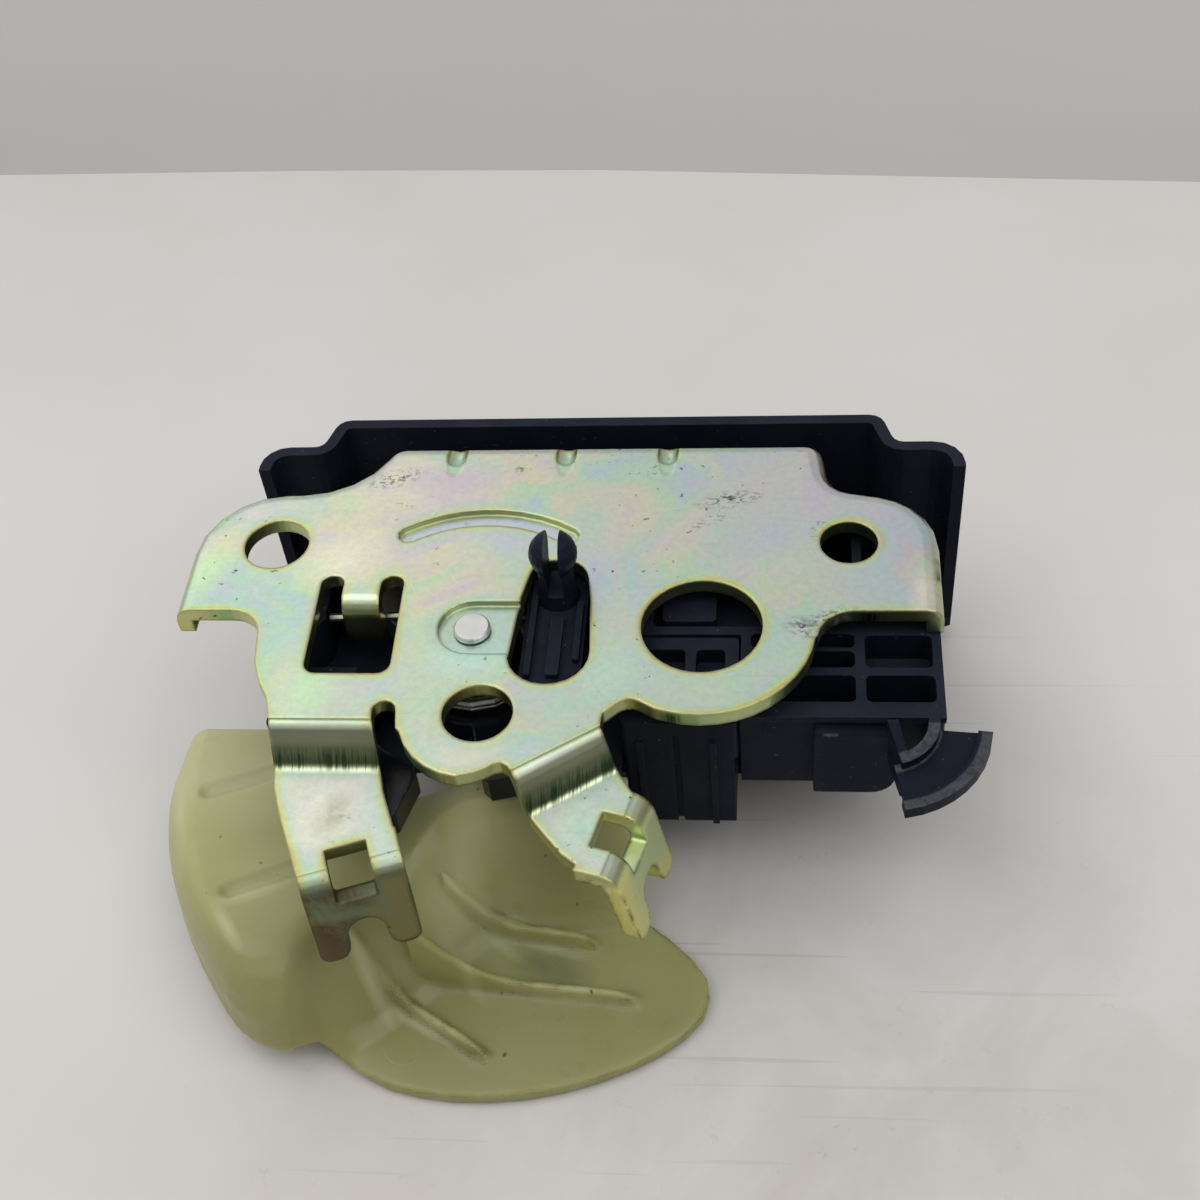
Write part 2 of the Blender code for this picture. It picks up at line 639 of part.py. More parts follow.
def base_plate():
    plate, inner = rim_pan()
    plate.name = "base_plate"
    left_plan = LEFT_ROOT[:2] + [(-38.8, -39.5), (-38.2, -42.9), (-36.6, -47.5), (-34.4, -52.6),
                                 (-32.0, -58.2),
                                 (-18.0, -53.3), (-20.0, -48.5), (-22.0, -43.4),
                                 (-23.2, -39.0)] + LEFT_ROOT[2:]
    right_plan = RIGHT_ROOT[:2] + [(-0.6, -47.3), (2.0, -50.6), (4.5, -53.6), (7.6, -56.0), (10.4, -57.0),
                                   (14.0, -43.4), (11.6, -39.6)] + RIGHT_ROOT[2:]
    left_frame = frame_at((0, 0, 0), (0, -1, 0), (0, 0, 1))
    turn = math.radians(RIGHT_LEG_ANGLE - 90)
    right_frame = frame_at((0, 0, 0), (math.cos(turn), math.sin(turn), 0), (0, 0, 1))
    left_tab, left_window = forked_tab("left_tab", LEFT_TAB_CENTRE, LEFT_TAB_ANGLE)
    right_tab, right_window = forked_tab("right_tab", RIGHT_TAB_CENTRE, RIGHT_TAB_ANGLE)
    flat = extrude("flat_part", [flat_outline()], -SHEET, 0, ZINC)
    left_leg = leg("left_leg", -LEFT_BEND_Y, left_frame, left_plan)
    right_leg = leg("right_leg", RIGHT_BEND_OFFSET, right_frame, right_plan)
    pressed_back = [extrude("groove_back", [groove_outline(2.6)], PRESS_BACK, -SHEET + 0.2, ZINC),
                    extrude("recess_back", [recess_outline(6.4)], PRESS_BACK, -SHEET + 0.2, ZINC)]
    join(plate, flat, left_leg, right_leg, left_tab, right_tab, *pressed_back)
    for i, x in enumerate(RIB_PLACES):
        back = rib_tool(f"rib_back_{i}", x, RIB_RADIUS + RIB_WALL)
        keep_inside(back, box(f"rib_room_{i}", (x - 5, x + 5), (0, PLATE_TOP - SHEET / 2),
                              (-RIM_DEPTH, -SHEET / 2)))
        join(plate, back)
        cut(plate, rib_tool(f"rib_front_{i}", x, RIB_RADIUS))
    half = FIX_SPACING / 2
    cut(plate,
        cylinder("hole_left", (-half, 0), FIX_RADIUS, -4, 1, ZINC, sides=32),
        cylinder("hole_right", (half, 0), RIGHT_HOLE_RADIUS, -4, 1, ZINC, sides=32),
        cylinder("hole_low", LOW_HOLE, FIX_RADIUS, -4, 1, ZINC, sides=32),
        cylinder("hole_big", BIG_HOLE, BIG_HOLE_RADIUS, -4, 1, ZINC, sides=40),
        extrude("groove", [groove_outline(1.7)], -PRESS_DEPTH, 1, ZINC),
        extrude("recess", [recess_outline(5.2)], -PRESS_DEPTH, 1, ZINC),
        cylinder("rivet_hole", PIVOT, RIVET_SHANK_RADIUS + GAP, -5, 1, ZINC),
        extrude("centre_slot", [slot_outline()], -5, 1, ZINC),
        extrude("window", [window_outline()], -5, 1, ZINC),
        left_window, right_window)
    tongue_side = strip([(8.5, -SKIN, 0), (TONGUE_Y, -SKIN, 0.6 + SHEET),
                         (TONGUE_Y + 0.2, TONGUE_FOOT, 0)], SHEET)
    join(plate, extrude("tongue", [tongue_side], 26.8, 32.6, ZINC,
                        frame_at((0, 0, 0), (0, -1, 0), (0, 0, 1))))
    return plate


def catch_rivet():
    """Stepped pin of the catch: flat head outside, shoulder inside, chamfered foot below the floor."""
    foot = FLOOR_BACK - GAP
    seat = -PRESS_DEPTH + GAP
    crown = seat + RIVET_HEAD_HEIGHT
    profile = [(0, crown), (RIVET_HEAD_RADIUS - RIVET_EDGE, crown), (RIVET_HEAD_RADIUS, crown - RIVET_EDGE),
               (RIVET_HEAD_RADIUS, seat), (RIVET_SHANK_RADIUS, seat),
               (RIVET_SHANK_RADIUS, PRESS_BACK - GAP),
               (CATCH_PIN_RADIUS, PRESS_BACK - GAP), (CATCH_PIN_RADIUS, foot),
               (CATCH_PIN_RADIUS - 0.8, foot - 0.8),
               (0, foot - 0.8)]
    return turned("catch_rivet", profile, STEEL, Matrix.Translation(Vector((*PIVOT, 0)) * MM))


# Housing

def floor_outline():
    return rounded([(-41.5, MOUTH_FRONT, 1), (-41.5, -17, 2), (-38.3, -12, 2), (-38.3, 9.5, 2),
                    (-33, 14.5, 3),
                    (-28, 20, 2), (40, 20, 3), (46, 10, 4), (HOUSING_RIGHT, 10, 3),
                    (HOUSING_RIGHT, HOUSING_FRONT, 0.8),
                    (12, HOUSING_FRONT, 0), (10.7, MOUTH_FRONT, 0.8)], step=30)


def pocket_outline():
    """Room for the catch, pawl and slide, open at the mouth."""
    return rounded([(-39.5, MOUTH_FRONT - 4, 0), (-39.5, -16.2, 2), (-36.3, -11.2, 2), (-36.3, 8.3, 2),
                    (-31.5, 13, 2),
                    (-26.8, 17.9, 2), (13.8, 17.9, 2), (13.8, CONNECTOR_BACK + 2, 0),
                    (12.8, CONNECTOR_BACK + 1, 0),
                    (12.8, MOUTH_FRONT - 4, 0)],
                   step=30)


def sector(centre, inner, outer, start, end, step=10):
    return arc(centre, outer, start, end, step) + arc(centre, inner, end, start, step)


def housing():
    body = extrude("housing", [floor_outline()], FLOOR_BACK, HOUSING_TOP)
    chamber = rectangle(CHAMBER_LEFT, CHAMBER_RIGHT, CHAMBER_FRONT, CHAMBER_BACK, 3)
    room = rectangle(CHAMBER_LEFT + WALL, CHAMBER_RIGHT - WALL, CHAMBER_FRONT + WALL, CHAMBER_BACK - WALL,
                     1.5)
    skirt = HOUSING_TOP - FRONT_WALL_DEPTH
    block = rounded([(BLOCK_LEFT, HOUSING_TOP - 2.8, 0.5), (BLOCK_RIGHT, HOUSING_TOP - 2.8, 0.5),
                     (BLOCK_RIGHT, skirt, 3.6), (BLOCK_LEFT, skirt, 0.5)])
    join(body, extrude("chamber", [chamber], CHAMBER_EDGE, FLOOR_BACK + 1),
         box("front_wall", (CONNECTOR_RIGHT - 1, 51.5), (HOUSING_FRONT, HOUSING_FRONT + WALL),
             (skirt, FLOOR_BACK + 1)),
         box("side_wall", (HOUSING_RIGHT - WALL, HOUSING_RIGHT), (HOUSING_FRONT, 0),
             (FLOOR_BACK - 3, FLOOR_BACK + 1)),
         extrude("front_block", [block], -3, 0, frame=frame_at((0, HOUSING_FRONT - 2, 0), (1, 0, 0),
                                                               (0, 0, 1))),
         box("front_ledge", (CONNECTOR_RIGHT, HOUSING_RIGHT), (HOUSING_FRONT - 0.7, HOUSING_FRONT + 1),
             (HOUSING_TOP - 1.2, HOUSING_TOP)),
         box("front_tab", (CONNECTOR_RIGHT, CONNECTOR_RIGHT + 3.4),
             (HOUSING_FRONT - 0.7, HOUSING_FRONT + 1),
             (HOUSING_TOP - 4.4, HOUSING_TOP - 1.0)))
    inner_low = HOUSING_TOP - GUARD_DEPTH
    fan_low = HOUSING_TOP - FAN_DEPTH
    x, y = GUARD_CENTRE
    bar = [(x + 0.6, y), (x + 2.2, y), (x + 3.3, y - GUARD_RADIUS + 2), (x + 2.4, y - GUARD_RADIUS + 0.5)]
    join(body, extrude("guard_rim", [sector(GUARD_CENTRE, FAN_RADIUS - 2.1, FAN_RADIUS, -80.5, -6)],
                       fan_low,
                       HOUSING_TOP - 0.6),
         extrude("guard_web", [sector(GUARD_CENTRE, GUARD_RADIUS - 1, FAN_RADIUS - 1, -79, -5)], fan_low,
                 fan_low + 1.1),
         extrude("guard_inner", [sector(GUARD_CENTRE, GUARD_RADIUS - 1.7, GUARD_RADIUS, -72, 3)],
                 inner_low, HOUSING_TOP),
         extrude("guard_bar", [bar], inner_low, HOUSING_TOP))
    cut(body, extrude("chamber_room", [room], CHAMBER_EDGE - 1, FLOOR_BACK))
    for i, (x, y) in enumerate(SCREW_PLACES):
        join(body, cylinder(f"screw_post_{i}", (x, y), 2.9, CHAMBER_EDGE, FLOOR_BACK + 0.5, sides=16))
        cut(body, cylinder(f"screw_pilot_{i}", (x, y), 1.3, CHAMBER_EDGE - 1, CHAMBER_EDGE + 9, sides=12))
    join(body, cylinder("wheel_boss", (WHEEL_X, WHEEL_Y), 3.0, HUB_TOP + GAP, FLOOR_BACK + 0.5, sides=20),
         box("worm_bearing", (-5.0, -2.2), (MOTOR_Y - 3.6, MOTOR_Y + 3.6),
             (MOTOR_Z - 3.4, FLOOR_BACK + 0.5)))
    for i, (x0, x1) in enumerate(LUGS):
        join(body, box(f"lug_{i}", (x0, x1), (MOUTH_FRONT, MOUTH_FRONT + 2.5),
                       (HANDLE_PIN[1] - 3, FLOOR_BACK + 1)),
             cylinder(f"lug_eye_{i}", HANDLE_PIN, LUG_RADIUS, x0, x1, frame=along_x(), sides=20))
    cells = [((47.1, 57.0), (-20.6, -14.3), 5.5), ((47.1, 57.2), (-27.1, -22.1), 7.5),
             ((34.0, 45.6), (-27.1, -22.1), 7.5),
             ((30.2, 45.6), (-20.6, -17.4), 7.5), ((30.2, 45.6), (-16.8, -14.0), 3.0),
             ((47.1, 56.4), (-11.6, 6.0), 7.5),
             ((30.2, 45.6), (-1.5, 8.0), 7.5), ((16.0, 28.6), (4.5, 17.6), 7.5)]
    for i, (x, y, depth) in enumerate(cells):
        cut(body, extrude(f"cell_{i}", [rectangle(*x, *y, 0.9)], HOUSING_TOP - depth, HOUSING_TOP + 1))
    view = rectangle(15.2, 34.0, -12.6, 1.5, 1.0)
    raised = rectangle(16.6, 24.8, -11.6, -4.4, 0.8)
    cut(body, extrude("pocket", [pocket_outline()], FLOOR_TOP, HOUSING_TOP + 1),
        extrude("view_recess", [view, raised], HOUSING_TOP - 3.0, HOUSING_TOP + 1),
        box("connector_room", (CONNECTOR_LEFT - GAP, CONNECTOR_RIGHT + GAP),
            (CONNECTOR_FRONT - 4, CONNECTOR_BACK + GAP),
            (CHAMBER_EDGE - 2, HOUSING_TOP + 1)),
        cylinder("rivet_room", PIVOT, CATCH_PIN_RADIUS + GAP, FLOOR_BACK - 1, FLOOR_TOP + 1),
        cylinder("pawl_pin_room", PAWL_PIVOT, PAWL_PIN_RADIUS + GAP, FLOOR_BACK - 1, FLOOR_TOP + 1),
        cylinder("axle_room", (WHEEL_X, WHEEL_Y), AXLE_RADIUS + GAP, HUB_TOP - 1, FLOOR_BACK + 1.1),
        extrude("cam_slot", [sector((WHEEL_X, WHEEL_Y), CAM_RADIUS - CAM_PIN_RADIUS - 0.6,
                                    CAM_RADIUS + CAM_PIN_RADIUS + 0.6, CAM_ANGLE - 18,
                                    CAM_ANGLE + CAM_TRAVEL + 18)],
                FLOOR_BACK - 1, FLOOR_TOP + 1),
        cylinder("worm_bore", (MOTOR_Y, MOTOR_Z), SHAFT_RADIUS + GAP, -8, 0, frame=along_x(), sides=16),
        cylinder("handle_bore", HANDLE_PIN, HANDLE_PIN_RADIUS + GAP, -43, 10.5, frame=along_x(), sides=16))
    return body


def shield_path():
    """Outer face of the splash wall, from its left end to its right end."""
    return rounded([(-52.2, 18.5, 0), (-52.2, 24.1, 4.5), (-42.2, 24.1, 2.0), (-40.2, 30.7, 2.6),
                    (50.9, 30.7, 2.6),
                    (53.0, 24.1, 2.0), (64.0, 24.1, 5.0), (64.0, 18.2, 0)], closed=False, step=25)


def rear_cover():
    """Cover of the drive chamber with its tall splash wall behind the plate's top edge."""
    wall = shield_path()
    inside = offset(wall, -SHIELD_THICK, closed=False)
    cover = extrude("rear_cover", [wall + inside[::-1]], COVER_LEVEL, SHIELD_TOP)
    plan = rounded([(CHAMBER_LEFT - 1.5, CHAMBER_FRONT - 1.5, 3), (CHAMBER_LEFT - 1.5, 15.5, 3),
                    (-52.2, 18.5, 0.5),
                    (-52.2, 24.1, 4.5), (-42.2, 24.1, 2.0), (-40.2, 30.7, 2.6), (50.9, 30.7, 2.6),
                    (53.0, 24.1, 2.0),
                    (64.0, 24.1, 5.0), (64.0, 18.2, 0.5), (CHAMBER_RIGHT + 1.5, 13.5, 3),
                    (CHAMBER_RIGHT + 1.5, CHAMBER_FRONT - 1.5, 3)], step=25)
    join(cover, extrude("cover_floor", [plan], COVER_LEVEL, COVER_TOP),
         cylinder("axle_boss", (WHEEL_X, WHEEL_Y), 3.0, COVER_TOP - 0.5, HUB_BACK - GAP, sides=20))
    for i, x in enumerate((-30.0, 0.0, 30.0)):
        join(cover, box(f"wall_rib_{i}", (x - 0.8, x + 0.8), (22.0, 29.2), (COVER_TOP - 0.5, -20)))
    cut(cover, cylinder("axle_seat", (WHEEL_X, WHEEL_Y), AXLE_RADIUS + GAP, COVER_TOP, HUB_BACK + 1))
    for i, place in enumerate(SCREW_PLACES):
        cut(cover, cylinder(f"cover_hole_{i}", place, 1.8, COVER_LEVEL - 1, COVER_TOP + 1, sides=16))
    return cover


def connector_socket():
    inner = (CONNECTOR_LEFT + 2.0, CONNECTOR_RIGHT - 2.0)
    top = HOUSING_TOP - 0.4
    outline = rectangle(CONNECTOR_LEFT, CONNECTOR_RIGHT, CONNECTOR_FRONT, CONNECTOR_BACK, 0.8)
    body = extrude("connector_socket", [outline], CONNECTOR_BOTTOM, top)
    keys = [(13.4, 14.4), (24.2, 25.2)]
    for i, (x0, x1) in enumerate(keys):
        join(body, box(f"key_{i}", (x0, x1), (CONNECTOR_FRONT - 0.6, CONNECTOR_FRONT + 1),
                       (CONNECTOR_BOTTOM, top - 4)))
    cut(body, box("key_groove", (18.8, 19.8), (CONNECTOR_FRONT - 1, CONNECTOR_FRONT + 0.7),
                  (CONNECTOR_BOTTOM - 1, top - 3)),
        box("side_step", (CONNECTOR_RIGHT - 0.6, CONNECTOR_RIGHT + 1),
            (CONNECTOR_FRONT - 1, CONNECTOR_BACK + 1),
            (CONNECTOR_BOTTOM - 1, -14)),
        extrude("socket_room", [rectangle(*inner, CONNECTOR_FRONT + 2, CONNECTOR_BACK - 2, 1)],
                CONNECTOR_BOTTOM - 1,
                SOCKET_ROOF),
        extrude("top_cell_0", [rectangle(inner[0], 20.4, CONNECTOR_FRONT + 2, CONNECTOR_BACK - 2.4, 0.8)],
                top - 3, top + 1),
        extrude("top_cell_1", [rectangle(22.0, inner[1], CONNECTOR_FRONT + 2, CONNECTOR_BACK - 2.4, 0.8)],
                top - 3, top + 1))
    for i, x in enumerate(pin_places()):
        cut(body, box(f"pin_room_{i}", (x - 0.9, x + 0.9), (PIN_Y - 0.7, PIN_Y + 0.7),
                      (SOCKET_ROOF - 1, SOCKET_ROOF + 3)))
    return body


def pin_places():
    middle = (CONNECTOR_LEFT + CONNECTOR_RIGHT) / 2
    return [middle + (i - (PIN_COUNT - 1) / 2) * PIN_PITCH for i in range(PIN_COUNT)]


def connector_terminals():
    return [box(f"terminal_{i + 1}", (x - 0.6, x + 0.6), (PIN_Y - 0.4, PIN_Y + 0.4),
                (SOCKET_ROOF - 9, SOCKET_ROOF + 2.7),
                BRASS, edge=0.15) for i, x in enumerate(pin_places())]


# Latch mechanism

def catch():
    hub, hook = CATCH_HUB_RADIUS, HOOK_RADIUS
    throat = (hub + HOOK_INNER_RADIUS) / 2
    throat_end = polar(PIVOT, throat, -138)
    points = arc(PIVOT, hook, -150, -110.5, 8) + [polar(PIVOT, hook - 1.5, -108.5),
                                                  polar(PIVOT, HOOK_INNER_RADIUS + 1.2, -109.5)]
    points += arc(PIVOT, HOOK_INNER_RADIUS, -112, -138, 9)
    points += arc(throat_end, (HOOK_INNER_RADIUS - hub) / 2, -138, -318, 30)[1:-1]
    points += arc(PIVOT, hub, -138, -90, 12)
    points += [polar(PIVOT, HEEL_RADIUS - 1.5, -83)] + arc(PIVOT, HEEL_RADIUS, -80, -48, 8)
    points += [polar(PIVOT, HEEL_RADIUS - 2, -44)] + arc(PIVOT, hub, -14, 100, 14)
    points += arc(PIVOT, TOOTH_RADIUS, 110, 150, 10) + arc(PIVOT, hub, 164, 188, 12)
    item = extrude("catch", [points, circle(PIVOT, CATCH_PIN_RADIUS + GAP)], CATCH_BACK, CATCH_TOP, COATED)
    bevel = item.modifiers.new("Coating edge", "BEVEL")
    bevel.width = 0.4 * MM
    bevel.segments = 1
    bevel.limit_method = "ANGLE"
    bevel.angle_limit = math.radians(50)
    return hang_on(item, (*PIVOT, CATCH_TOP))


def coil(centre, radius, low, high, start, turns, per_turn=16):
    count = round(turns * per_turn)
    turn = [math.radians(start + 360 * turns * i / count) for i in range(count + 1)]
    return [(centre[0] + radius * math.cos(a), centre[1] + radius * math.sin(a),
             low + (high - low) * i / count)
            for i, a in enumerate(turn)]


def catch_spring():
    x, y = PIVOT
    body = coil(PIVOT, SPRING_RADIUS, SPRING_LOW, SPRING_HIGH, 90 - 360 * SPRING_TURNS, SPRING_TURNS)
    tail = [(x + 6.5, y + SPRING_RADIUS + 0.4, SPRING_LOW)]
    leg_end = (-36.0, y + SPRING_RADIUS - 0.9, SPRING_HIGH)
    return wire("catch_spring", tail + body + [leg_end], SPRING_WIRE / 2, SPRING_STEEL)


def pawl():
    x, y = PAWL_PIVOT
    hub = circle(PAWL_PIVOT, PAWL_HUB_RADIUS)
    along = (Vector(PAWL_ARM_END) - Vector(PAWL_PIVOT)).normalized()
    side = Vector((-along.y, along.x)) * PAWL_ARM_WIDTH / 2
    root = Vector(PAWL_PIVOT) + along * 2
    tip = Vector(PAWL_ARM_END)
    arm = rounded([(*(root + side), 0), (*(root - side), 0), (*(tip - side), 1.2), (*(tip + side), 1.2)])
    nose = TOOTH_RADIUS + 0.5
    beak = rounded([(x - 3.0, y - 2.0, 0), (x + 2.6, y - 13.5, 3), (*polar(PIVOT, nose, 150), 0.4),
                    (*polar(PIVOT, nose, 137), 0.4), (x + 3.4, y - 1.0, 0)])
    item = extrude("pawl", [hub], CATCH_BACK, CATCH_TOP, STEEL)
    join(item, extrude("pawl_arm", [arm], CATCH_BACK, CATCH_TOP, STEEL),
         extrude("pawl_beak", [beak], CATCH_BACK, CATCH_TOP, STEEL))
    cut(item, cylinder("pawl_bore", PAWL_PIVOT, PAWL_PIN_RADIUS + GAP, CATCH_BACK - 1, CATCH_TOP + 1))
    return hang_on(item, (*PAWL_PIVOT, CATCH_TOP))


def pawl_pin():
    return cylinder("pawl_pin", PAWL_PIVOT, PAWL_PIN_RADIUS, FLOOR_BACK + 0.2, SHEET_BACK - GAP, STEEL)


def pawl_spring():
    x, y = PAWL_PIVOT
    low = CATCH_TOP + GAP + PAWL_SPRING_WIRE / 2
    body = coil(PAWL_PIVOT, PAWL_SPRING_RADIUS, low, low + 3 * PAWL_SPRING_WIRE * 1.05, 90, 3, 12)
    start = [(x + 9.0, y + PAWL_SPRING_RADIUS - 0.8, low)]
    end = [(x - 1.2, y + PAWL_SPRING_RADIUS + 0.2, body[-1][2])]
    return wire("pawl_spring", start + body + end, PAWL_SPRING_WIRE / 2, SPRING_STEEL)


def release_slide():
    """Slide under the centre slot, with the split snap peg that stands up through it."""
    x, y = PEG_AT
    low_y = SLIDE_TOP_Y - SLIDE_LENGTH
    half = SLIDE_WIDTH / 2
    base = rounded([(x - half, SLIDE_TOP_Y, 3), (x + half, SLIDE_TOP_Y, 3), (x + half, low_y + 3, 2),
                    (x + 1, low_y, 2),
                    (x - half, low_y, 1.5)])
    item = extrude("release_slide", [base], SLIDE_BACK, SLIDE_TOP)
    rib_top = SHEET_BACK - GAP
    ribs = [rectangle(x - 3.9, x - 2.9, low_y + 1, y + 3, 0.3),
            rectangle(x - 0.6, x + 1.4, low_y + 1, y - 5, 0.3),
            rectangle(x + 3.2, x + 4.2, low_y + 4, y - 2, 0.3)]
    for i, rib in enumerate(ribs):
        join(item, extrude(f"slide_rib_{i}", [rib], SLIDE_TOP - 0.3, rib_top))
    frame = Matrix.Translation(Vector((x, y, 0)) * MM)
    neck = PEG_HEIGHT - PEG_HEAD_LENGTH
    stem = turned("peg_stem", [(0, neck + 1), (PEG_STEM_RADIUS - 0.4, neck + 1),
                               (PEG_STEM_RADIUS, SLIDE_TOP + 2),
                               (PEG_STEM_RADIUS + 0.5, SLIDE_TOP - 0.5), (0, SLIDE_TOP - 0.5)], BLACK,
                               frame, 20)
    barb = [(0, 0), (0.36, 0.02), (0.68, 0.14), (0.92, 0.32), (1.0, 0.50), (0.96, 0.68), (0.80, 0.88),
            (0.66, 1), (0, 1)]
    head = turned("peg_head", [(PEG_HEAD_RADIUS * r, PEG_HEIGHT - PEG_HEAD_LENGTH * drop)
                               for r, drop in barb],
                  BLACK, frame, 20)
    join(item, stem, head)
    cut(item, box("peg_split", (x - PEG_SLOT / 2, x + PEG_SLOT / 2), (y - 6, y + 6),
                  (-1.2, PEG_HEIGHT + 1)))
    return hang_on(item, (x, y, SLIDE_TOP))


# Drive

def motor():
    outline = rounded([(MOTOR_Y - MOTOR_FLAT, MOTOR_Z - MOTOR_RADIUS, 6),
                       (MOTOR_Y + MOTOR_FLAT, MOTOR_Z - MOTOR_RADIUS, 6),
                       (MOTOR_Y + MOTOR_FLAT, MOTOR_Z + MOTOR_RADIUS, 6),
                       (MOTOR_Y - MOTOR_FLAT, MOTOR_Z + MOTOR_RADIUS, 6)])
    can = extrude("motor_can", [outline], MOTOR_LEFT, MOTOR_RIGHT - 3, STEEL, along_x())
    join(can, cylinder("motor_nose", (MOTOR_Y, MOTOR_Z), 3.0, MOTOR_LEFT - 1.4, MOTOR_LEFT + 1, STEEL,
                       along_x()))
    cut(can, cylinder("motor_bore", (MOTOR_Y, MOTOR_Z), SHAFT_RADIUS + GAP, MOTOR_LEFT - 3, MOTOR_LEFT + 4,
                      STEEL, along_x()))
    cap_outline = offset(outline, 0.4)
    cap = extrude("motor_end_cap", [cap_outline], MOTOR_RIGHT - 3 + GAP, MOTOR_RIGHT, BLACK, along_x())
    return can, cap


def worm():
    """Motor shaft with its worm, one thread start."""
    frame = along_x()
    shaft = turned("worm", [(0, MOTOR_LEFT + 3), (SHAFT_RADIUS, MOTOR_LEFT + 3),
                            (SHAFT_RADIUS, WORM_RIGHT + 0.8),
                            (WORM_CORE_RADIUS, WORM_RIGHT), (WORM_CORE_RADIUS, WORM_LEFT),
                            (SHAFT_RADIUS, WORM_LEFT - 0.8),
                            (SHAFT_RADIUS, -4.6), (0, -4.6)], BRASS,
                   frame @ Matrix.Translation(Vector((MOTOR_Y, MOTOR_Z, 0)) * MM), 16)
    turns = (WORM_RIGHT - WORM_LEFT - 2) / WORM_PITCH
    first = WHEEL_X - WORM_PITCH * math.floor((WHEEL_X - WORM_LEFT - 1) / WORM_PITCH)
    count = round(turns * 12)
    points = []
    for i in range(count + 1):
        turn = math.radians(180 + 360 * i / 12)
        points.append((first + WORM_PITCH * i / 12, MOTOR_Y + WORM_PITCH_RADIUS * math.cos(turn),
                       MOTOR_Z + WORM_PITCH_RADIUS * math.sin(turn)))
    thread = wire("worm_thread", points, WORM_WIRE, BRASS, 1)
    PARTS.objects.unlink(thread)
    bm = curve_to_mesh(thread)
    join(shaft, finish("worm_thread", bm, BRASS))
    return hang_on(shaft, (WHEEL_X, MOTOR_Y, MOTOR_Z))


def gear_outline():
    """Teeth with a gap facing the worm."""
    pitch = 360 / WHEEL_TEETH
    root = WHEEL_PITCH_RADIUS - WHEEL_DEDENDUM
    tip = WHEEL_PITCH_RADIUS + WHEEL_ADDENDUM
    points = []
    for i in range(WHEEL_TEETH):
        middle = 90 + pitch * (i + 0.5)
        for radius, share in ((root, -0.21), (tip, -0.10), (tip, 0.10), (root, 0.21)):
            points.append(polar((WHEEL_X, WHEEL_Y), radius, middle + share * pitch))
    return points


def worm_wheel():
    centre = (WHEEL_X, WHEEL_Y)
    low, high = MOTOR_Z - WHEEL_THICK / 2, MOTOR_Z + WHEEL_THICK / 2
    web = MOTOR_Z + WORM_PITCH_RADIUS + WORM_WIRE + GAP
    item = extrude("worm_wheel", [gear_outline()], low, high, NYLON)
    join(item, cylinder("wheel_hub", centre, 3.4, HUB_BACK, HUB_TOP, NYLON),
         extrude("cam_web", [rounded([(*polar(centre, CAM_RADIUS + 2, CAM_ANGLE - 16), 1),
                                      (*polar(centre, CAM_RADIUS + 2, CAM_ANGLE + 16), 1),
                                      (*polar(centre, 2, CAM_ANGLE + 90), 0),
                                      (*polar(centre, 2, CAM_ANGLE - 90), 0)])],
                 web, web + 2, NYLON),
         cylinder("cam_pin", polar(centre, CAM_RADIUS, CAM_ANGLE), CAM_PIN_RADIUS, web + 1, CATCH_TOP,
                  NYLON, sides=16))
    cut(item, cylinder("wheel_bore", centre, AXLE_RADIUS + GAP, HUB_BACK - 1, CATCH_TOP, NYLON))
    return hang_on(item, (*centre, MOTOR_Z))


def wheel_axle():
    return cylinder("wheel_axle", (WHEEL_X, WHEEL_Y), AXLE_RADIUS, COVER_TOP + GAP, FLOOR_BACK + 0.8, STEEL)


def cover_screws():
    items = []
    for i, (x, y) in enumerate(SCREW_PLACES):
        under = COVER_LEVEL - GAP
        profile = [(0, CHAMBER_EDGE + 8), (0.95, CHAMBER_EDGE + 8), (0.95, under), (2.6, under),
                   (2.4, under - 1.1),
                   (1.4, under - 1.3), (0, under - 1.3)]
        items.append(turned(f"cover_screw_{i + 1}", profile, STEEL,
                            Matrix.Translation(Vector((x, y, 0)) * MM), 12))
    return items


def position_sensor():
    return box("position_sensor", (-38.9, -30.6), (-24.5, -17.0), (FLOOR_TOP + GAP, CATCH_TOP), BLACK,
               edge=0.4)


def catch_stop():
    return box("catch_stop", (-39.2, -35.6), (-30.0, -25.5), (FLOOR_TOP + GAP, CATCH_TOP), RUBBER, edge=0.6)


# Release handle

def smooth_step(share):
    share = min(1.0, max(0.0, share))
    return share * share * (3 - 2 * share)


def blend(low, high, share):
    return low + (high - low) * share


def along_sections(place):
    """The section at a fractional place, on a smooth curve through its four neighbours."""
    last = len(HANDLE_SECTIONS) - 1
    here = min(int(place), last - 1)
    near = [HANDLE_SECTIONS[min(last, max(0, here + k))] for k in (-1, 0, 1, 2)]
    t = place - here
    weights = (-t ** 3 + 2 * t ** 2 - t, 3 * t ** 3 - 5 * t ** 2 + 2, -3 * t ** 3 + 4 * t ** 2 + t,
               t ** 3 - t ** 2)
    return [sum(0.5 * w * section[i] for w, section in zip(weights, near)) for i in range(9)]


def top_level(x):
    """The lobe is lower than the back edge by the hinge."""
    return blend(PLATEAU_LEVEL, BACK_LEVEL, smooth_step((x - LOBE_END) / (HIGH_START - LOBE_END)))


